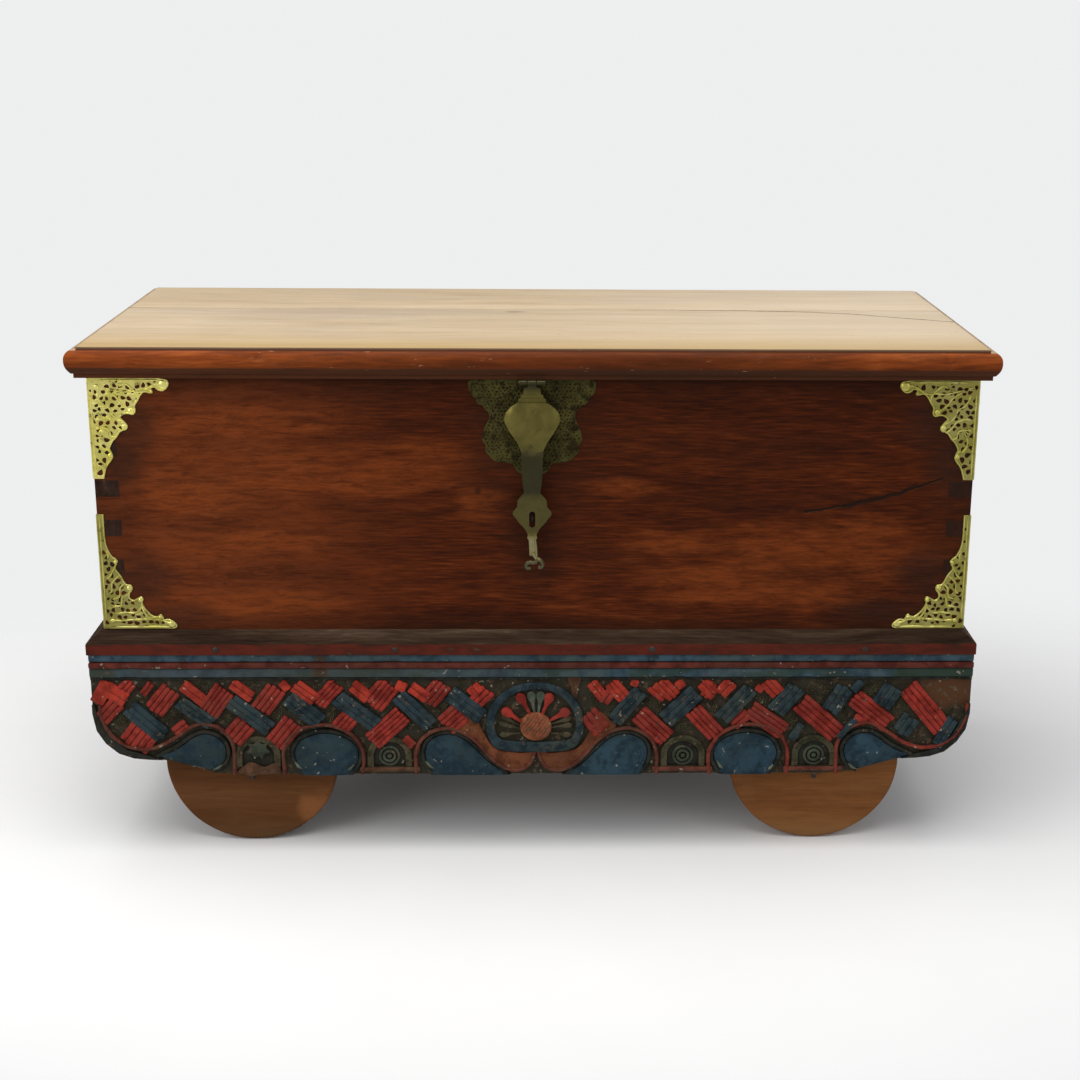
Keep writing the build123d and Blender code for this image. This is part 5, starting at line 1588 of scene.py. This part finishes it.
def half_plate(plate, place):
    """One wing: place turns (u, v) in millimetres from the middle of the top into (x, z) in metres."""
    outline = [place(*p) for p in PLATE_HALF]
    rounded = outline[:2] + flowing(outline[1:], 3, closed=False)[1:]
    holes = [[place(*p) for p in hole] for hole in pierce(PLATE_HALF, 5.6, 1.6, HASP_SHADE, 0.74, 0.6)]
    lay(plate, flat_shape([rounded] + holes, front_y, plate_face, 0.25 * mm))
    for _ in range(46):
        u, v = chance.uniform(20, 86), chance.uniform(4, 128)
        if inside((u, v), PLATE_HALF):
            lay(plate, pebble(place(u, v), chance.uniform(1.0, 1.9) * mm, plate_face, 1.2 * mm))
    within = [(u * 0.965, 3 + v * 0.955) for u, v in PLATE_HALF[2:]]
    rim = [place(*p) for p in flowing(within, 3, closed=False)]
    lay(plate, bead(rim, 1.2 * mm, plate_face, 0.6))
    for (u, v), turns, growth in SCROLLS:
        scroll = []
        for k in range(22):
            angle, reach = turns * (k * 0.42 + 0.6), 2.0 + k * growth
            scroll.append(place(u + reach * math.cos(angle), v + reach * math.sin(angle)))
        lay(plate, bead(scroll, 1.1 * mm, plate_face, 0.7, thin_ends=True))
    for x, z in (place(77, 9), place(52, 104)):
        lay(plate, nail_head((x, front_y - 1.6 * mm, z), (0, -1, 0), 3.2 * mm, 1.5 * mm))
    return len(holes)


plate, pierced = bmesh.new(), 0
for side in (-1, 1):
    pierced += half_plate(plate, lambda u, v: (lock_x + side * u * mm, lock_high.z - v * mm))
ripple(plate, front_y - 1.0 * mm, 150.0, 0.35 * mm)
settle(plate, "lock_plate_pierced", plate_brass, "chest", ("lock_plate", "lock_plate_nails"), 32)
print("holes in the lock plate:", pierced)

# %% [markdown]
# ## Hasp
# The hasp is forged in one: a stepped neck, a raised balloon, a plain strap, a lobed diamond with the
# slot, and a thin twisted tail that curls out at its foot. Its half widths are given down its
# length. A grid is laid over that outline, its middle is pushed forward to dome the balloon, and
# the sheet gets its thickness last.

# %% Draw the hasp
pivot_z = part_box("hasp")[1].z - 3.5 * mm
pivot_y = (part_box("hasp_pin")[0].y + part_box("hasp_pin")[1].y) / 2
hasp_back = front_y - 18.0 * mm
HASP_HALF = [
    (0, 6.2), (7, 6.2), (8, 11.0), (11.2, 11.6), (16.6, 12.4), (17.2, 15.2), (21.8, 16.2), (22.4, 18.6),
    (27.6, 20.0), (28.2, 21.0), (31, 25.5), (35, 30.5), (40, 34.8), (45, 37.6), (50, 38.9), (54, 38.9),
    (59, 37.6), (65, 34.4), (72, 30.0), (79, 25.0), (86, 20.6), (93, 17.4), (99, 15.8), (110, 15.2),
    (128, 14.6), (146, 13.6), (155, 11.9), (159, 11.6), (162, 14.0), (166, 17.6), (170, 20.4), (175, 21.2),
    (179, 21.0), (183, 24.2), (187, 27.2), (190, 27.6), (193, 26.2), (197, 22.6), (202, 19.4), (207, 14.8),
    (212, 10.4), (217, 7.6), (221, 6.0), (223, 6.8), (226, 6.8), (228, 5.0), (238, 4.4), (248, 4.0),
    (252, 3.4)]
dome_middle, dome_reach, dome_rise = 54.0, 36.0, 6.0 * mm
slot_middle, slot_long, slot_wide = 198.0, 12.0, 4.4
HOOKS = [([(0, 248), (3.5, 252), (6.0, 256), (6.0, 260), (1.5, 262), (-4, 261.5), (-8, 264), (-8.5, 268),
           (-5, 270), (-2.5, 267.5)], 3.0),
         ([(5.0, 256), (9.5, 257.5), (13.5, 260.5), (15.0, 265), (12.5, 268.5), (8.5, 268.0)], 3.0),
         ([(4.0, 228), (5.5, 238), (6.0, 248), (6.5, 256)], 1.7)]


def half_width(drop):
    for (d0, w0), (d1, w1) in zip(HASP_HALF, HASP_HALF[1:]):
        if drop <= d1:
            return w0 + (w1 - w0) * (drop - d0) / (d1 - d0)
    return HASP_HALF[-1][1]


def hasp_relief(x, drop):
    """How far the face stands forward of the flat sheet at a place on the hasp, in metres."""
    if drop < 28.0:
        return 1.2 * mm * (drop > 17.0) + 1.2 * mm * (drop > 22.2) - 0.6 * mm
    reach = math.hypot(x, (drop - dome_middle) * (0.8 if drop < dome_middle else 0.72)) / dome_reach
    dome = dome_rise * max(1 - reach ** 5, 0.0) ** 0.6 if reach < 1 else 0.0
    bulge = 0.9 * mm * max(1 - math.hypot(x, drop - 182) / 24.0, 0.0) if drop > 158 else 0.0
    return dome + bulge


print("hasp drawn with", len(HASP_HALF), "half widths")

# %% Forge the hasp
across = [k / 12 - 1 for k in range(25)]
drops = sorted({d for d, _ in HASP_HALF} | {2.2 * k for k in range(115)})
hasp = bmesh.new()
bmesh.ops.create_grid(hasp, x_segments=len(across) - 1, y_segments=len(drops) - 1, size=1.0)
columns, rows = (sorted({round(v.co[axis], 5) for v in hasp.verts}, reverse=axis == 1) for axis in (0, 1))
column_of, row_of = ({value: index for index, value in enumerate(line)} for line in (columns, rows))
for vert in hasp.verts:
    drop = drops[row_of[round(vert.co.y, 5)]]
    x = across[column_of[round(vert.co.x, 5)]] * half_width(drop)
    vert.co = (lock_x + x * mm, hasp_back - 1.6 * mm - hasp_relief(x, drop), pivot_z - drop * mm)


def slot_place(point):
    """Millimetres across and down from the middle of the slot."""
    return (point.x - lock_x) / mm, (pivot_z - point.z) / mm - slot_middle


def by_slot(point, margin_wide=0, margin_long=0):
    x, d = slot_place(point)
    return abs(d) < slot_long + margin_long and abs(x) < slot_wide + margin_wide


hole = [face for face in hasp.faces if by_slot(face.calc_center_median())]
bmesh.ops.delete(hasp, geom=hole, context="FACES")
for vert in [v for v in hasp.verts if v.is_boundary and by_slot(v.co, 4, 3)]:
    x, d = slot_place(vert.co)
    lift = max(abs(d) - (slot_long - slot_wide), 0.0) * math.copysign(1, d)
    angle = math.atan2(lift, x)
    vert.co.x = lock_x + slot_wide * math.cos(angle) * mm
    vert.co.z = pivot_z - (slot_middle + d - lift + slot_wide * math.sin(angle)) * mm
for vert in hasp.verts:
    vert.co.y += noise.noise(vert.co * 45.0) * 0.6 * mm + noise.noise(vert.co * 130.0) * 0.25 * mm
bmesh.ops.recalc_face_normals(hasp, faces=hasp.faces)
bmesh.ops.solidify(hasp, geom=hasp.faces, thickness=2.8 * mm)
print("hasp rows", len(drops), "slot faces cut", len(hole))


# %% Add the barrel and the curled foot
def rod(low_x, high_x, radius, segments=20):
    """A round bar along the hasp's pivot with softened ends."""
    bm = bmesh.new()
    bmesh.ops.create_cone(bm, cap_ends=True, segments=segments, radius1=radius, radius2=radius,
                          depth=high_x - low_x)
    soften(bm, radius * 0.2, 2, 60)
    face_along(bm, (1, 0, 0))
    shift(bm, ((low_x + high_x) / 2, pivot_y, pivot_z))
    return bm


lay(hasp, rod(lock_x - 6.2 * mm, lock_x + 6.2 * mm, 3.6 * mm))
for hook, thick in HOOKS:
    path = [(lock_x + x * mm, pivot_z - d * mm) for x, d in flowing(hook, 4, closed=False)]
    curl = bead(path, thick * mm, 0.0, 0.8)
    for vert in curl.verts:
        vert.co.y += hasp_back - 2.2 * mm - 2.5 * mm * min(max((pivot_z - vert.co.z) / mm - 252, 0) / 16, 1)
    lay(hasp, curl)
settle(hasp, "hasp_forged", hasp_brass, "hasp", ("hasp",), 34)
print("hasp forged, with", len(HOOKS), "curls")

# %% Hang the hasp
leaf_low, leaf_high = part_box("hasp_leaf")
leaf_top = leaf_high.z - 12.0 * mm
leaf_foot = leaf_top - 2.0 * mm
leaf = block((leaf_low.x, front_y - 15.2 * mm, leaf_foot), (leaf_high.x, front_y - 1.4 * mm, leaf_top))
lay(leaf, block((leaf_low.x, front_y - 3.4 * mm, leaf_foot), (leaf_high.x, front_y - 1.6 * mm, leaf_high.z)))
soften(leaf, 0.5 * mm)
for low, high in ((leaf_low.x, lock_x - 6.8 * mm), (lock_x + 6.8 * mm, leaf_high.x)):
    lay(leaf, block((low, pivot_y, leaf_foot), (high, front_y - 15.0 * mm, leaf_top)))
    lay(leaf, rod(low, high, 3.6 * mm))
settle(leaf, "hasp_leaf_bent", hasp_brass, "lid", ("hasp_leaf",), 34)
pin_low, pin_high = (corner.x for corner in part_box("hasp_pin"))
pin = rod(pin_low, pin_high, 1.7 * mm, 12)
for x in (pin_low + 0.9 * mm, pin_high - 0.9 * mm):
    lay(pin, nail_head((x, pivot_y, pivot_z), (1, 0, 0), 2.9 * mm, 1.2 * mm))
settle(pin, "hasp_pin_riveted", hasp_brass, "lid", ("hasp_pin",))
print("hasp hung")

# %% Bend the staple
staple_low, staple_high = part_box("staple")
staple_z = (staple_low.z + staple_high.z) / 2
bend_y, tang_y, bend = front_y - 8 * mm, front_y + 16 * mm, 6.5 * mm
loop = [(tang_y, staple_z - bend), (bend_y, staple_z - bend)]
loop += [(bend_y - bend * math.sin(math.pi * k / 10), staple_z - bend * math.cos(math.pi * k / 10))
         for k in range(1, 10)]
loop += [(bend_y, staple_z + bend), (tang_y, staple_z + bend)]
staple = bead(loop, 2.4 * mm, 0.0, 1.0)
swing(staple, "Z")
shift(staple, (lock_x, 0, 0))
settle(staple, "staple_bent", iron, "chest", ("staple",))
print("staple bent")

# %% [markdown]
# ## Wheels
# The wheels are thick discs sawn from one plank and worn a little flat where they stand. Each is a
# profile spun about the axle, then gently dented round its rim.

# %% Turn the wheels
def spun(section, steps):
    """A ring about Y from its section, a closed line of (distance from the axle, place along it)."""
    bm = bmesh.new()
    verts = [bm.verts.new((out, along, 0)) for out, along in section]
    edges = [bm.edges.new(pair) for pair in sides_of(verts)]
    bmesh.ops.spin(bm, geom=verts + edges, cent=(0, 0, 0), axis=(0, 1, 0), angle=math.tau, steps=steps,
                   use_merge=True)
    return bm


def turned_wheel(node):
    low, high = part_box(node)
    middle, radius = (low + high) / 2, (high.z - low.z) / 2
    bore, thick, ease = 19.6 * mm, high.y - low.y, 5.5 * mm
    near = [(bore, 0.0), (radius * 0.5, 0.0), (radius - ease, 0.0), (radius - ease * 0.32, ease * 0.28),
            (radius, ease)]
    section = near + [(radius, thick / 2)] + [(out, thick - along) for out, along in reversed(near)]
    bm = spun([(out, low.y - middle.y + along) for out, along in section], 120)
    for vert in bm.verts:
        reach = math.hypot(vert.co.x, vert.co.z)
        if reach > radius * 0.9:
            worn = abs(noise.noise((vert.co + Vector((middle.x, 0, 0))) * 9.0)) * 1.1 * mm
            vert.co.x *= 1 - worn / reach
            vert.co.z *= 1 - worn / reach
            vert.co.y += noise.noise(vert.co * 30.0) * 0.25 * mm * (-1 if vert.co.y > 0 else 1)
    shift(bm, middle)
    settle(bm, node + "_turned", wheel_wood, node, (node,), 50)


wheels = sorted(name for name in frame["nodes"] if name.startswith("wheel_"))
for node in wheels:
    turned_wheel(node)
print("wheels turned", len(wheels))

# %% [markdown]
# ## Drop handles
# A square bar is bent into a bail and drawn down to round pins, which turn in eyes on octagonal
# roses. The same piece hangs on both ends, so one loop makes it for each end, with the roses turned
# to face outwards.

# %% Bend the handles and cut the roses
bar, eye_spread, stem_half = 4.0 * mm, 49.5 * mm, 3.6 * mm
EYE_SECTION = [(0, -3.6), (1.2, -4.5), (3.4, -4.0), (4.4, 0), (3.4, 4.0), (1.2, 4.5), (0, 3.6)]


def bail_path(low, high):
    """Across the end of the chest: pins at the top, rounded lower corners."""
    half, top, foot, bend = (high.y - low.y) / 2 - bar, high.z - bar, low.z + bar, 18.0 * mm
    corner = [(half - bend + bend * math.sin(a), foot + bend - bend * math.cos(a))
              for a in (math.pi / 2 * k / 8 for k in range(9))]
    shoulder = [(half - 5 * mm * (1 - math.cos(a)), top - 5 * mm + 5 * mm * math.sin(a))
                for a in (math.pi / 2 * k / 5 for k in range(6))]
    right = corner + shoulder + [(half - 21.0 * mm, top)]
    return [(-y, z) for y, z in reversed(right)] + right


def forged_eye(sign, pivot_x, y, z):
    """An octagonal rose, the stem through it and the ring that the handle's pin turns in."""
    face_x = sign * half_length
    rose = bmesh.new()
    bmesh.ops.create_cone(rose, cap_ends=True, segments=8, radius1=17 * mm, radius2=13.5 * mm, depth=2.5 * mm)
    face_along(rose, (sign, 0, 0))
    shift(rose, (face_x + sign * 1.25 * mm, y, z))
    soften(rose, 0.5 * mm, 2, 20)
    stem_low, stem_high = (-20, 8) if sign > 0 else (-8, 20)
    lay(rose, block((face_x + stem_low * mm, y - stem_half, z - stem_half),
                    (face_x + stem_high * mm, y + stem_half, z + stem_half)))
    ring = spun([(4.3 * mm + out * mm, along * mm) for out, along in EYE_SECTION], 28)
    shift(ring, (pivot_x, y, z))
    lay(rose, ring)
    return rose


for side, sign in (("left", -1), ("right", 1)):
    low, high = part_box(f"handle_{side}")
    middle = (low + high) / 2
    handle = bead(bail_path(low, high), bar, 0.0, 0.95)
    swing(handle, "Z")
    shift(handle, (middle.x, middle.y, 0))
    roughen(handle, 0.35 * mm, 70.0)
    settle(handle, f"handle_{side}_bent", mount_brass, f"handle_{side}", (f"handle_{side}",))
    eyes = bmesh.new()
    for end in (-1, 1):
        lay(eyes, forged_eye(sign, middle.x, middle.y + end * eye_spread, high.z - bar))
    settle(eyes, f"handle_eyes_{side}_forged", mount_brass, "chest", (f"handle_eyes_{side}",), 34)
print("handles hung")

# %% [markdown]
# ## Every carried-over solid gets its finish
# Solids of the construction model whose shape is already right stay as they are and take a finish
# by the kind of piece they are. Boards that run from front to back take the finish whose grain does.

# %% Dress the construction model
finish_of = {"teak": teak, "lid_wood": lid_wood, "moulding_wood": moulding_woods[0],
             "ledge_wood": ledge_woods[0], "painted_wood": apron_side_paint, "frame_wood": frame_wood,
             "wheel_wood": wheel_wood, "mount_brass": mount_brass, "hasp_brass": hasp_brass, "iron": iron}
for name, obj in frame["nodes"].items():
    finish = finish_of[slot_of[name]]
    if name.startswith(("axle_left", "axle_right", "lid_batten_left", "lid_batten_right")):
        finish = frame_wood_deep
    if name.startswith("end_board"):
        finish = teak_end
    obj.data.materials.clear()
    obj.data.materials.append(finish)
print("dressed", len(frame["nodes"]), "nodes")
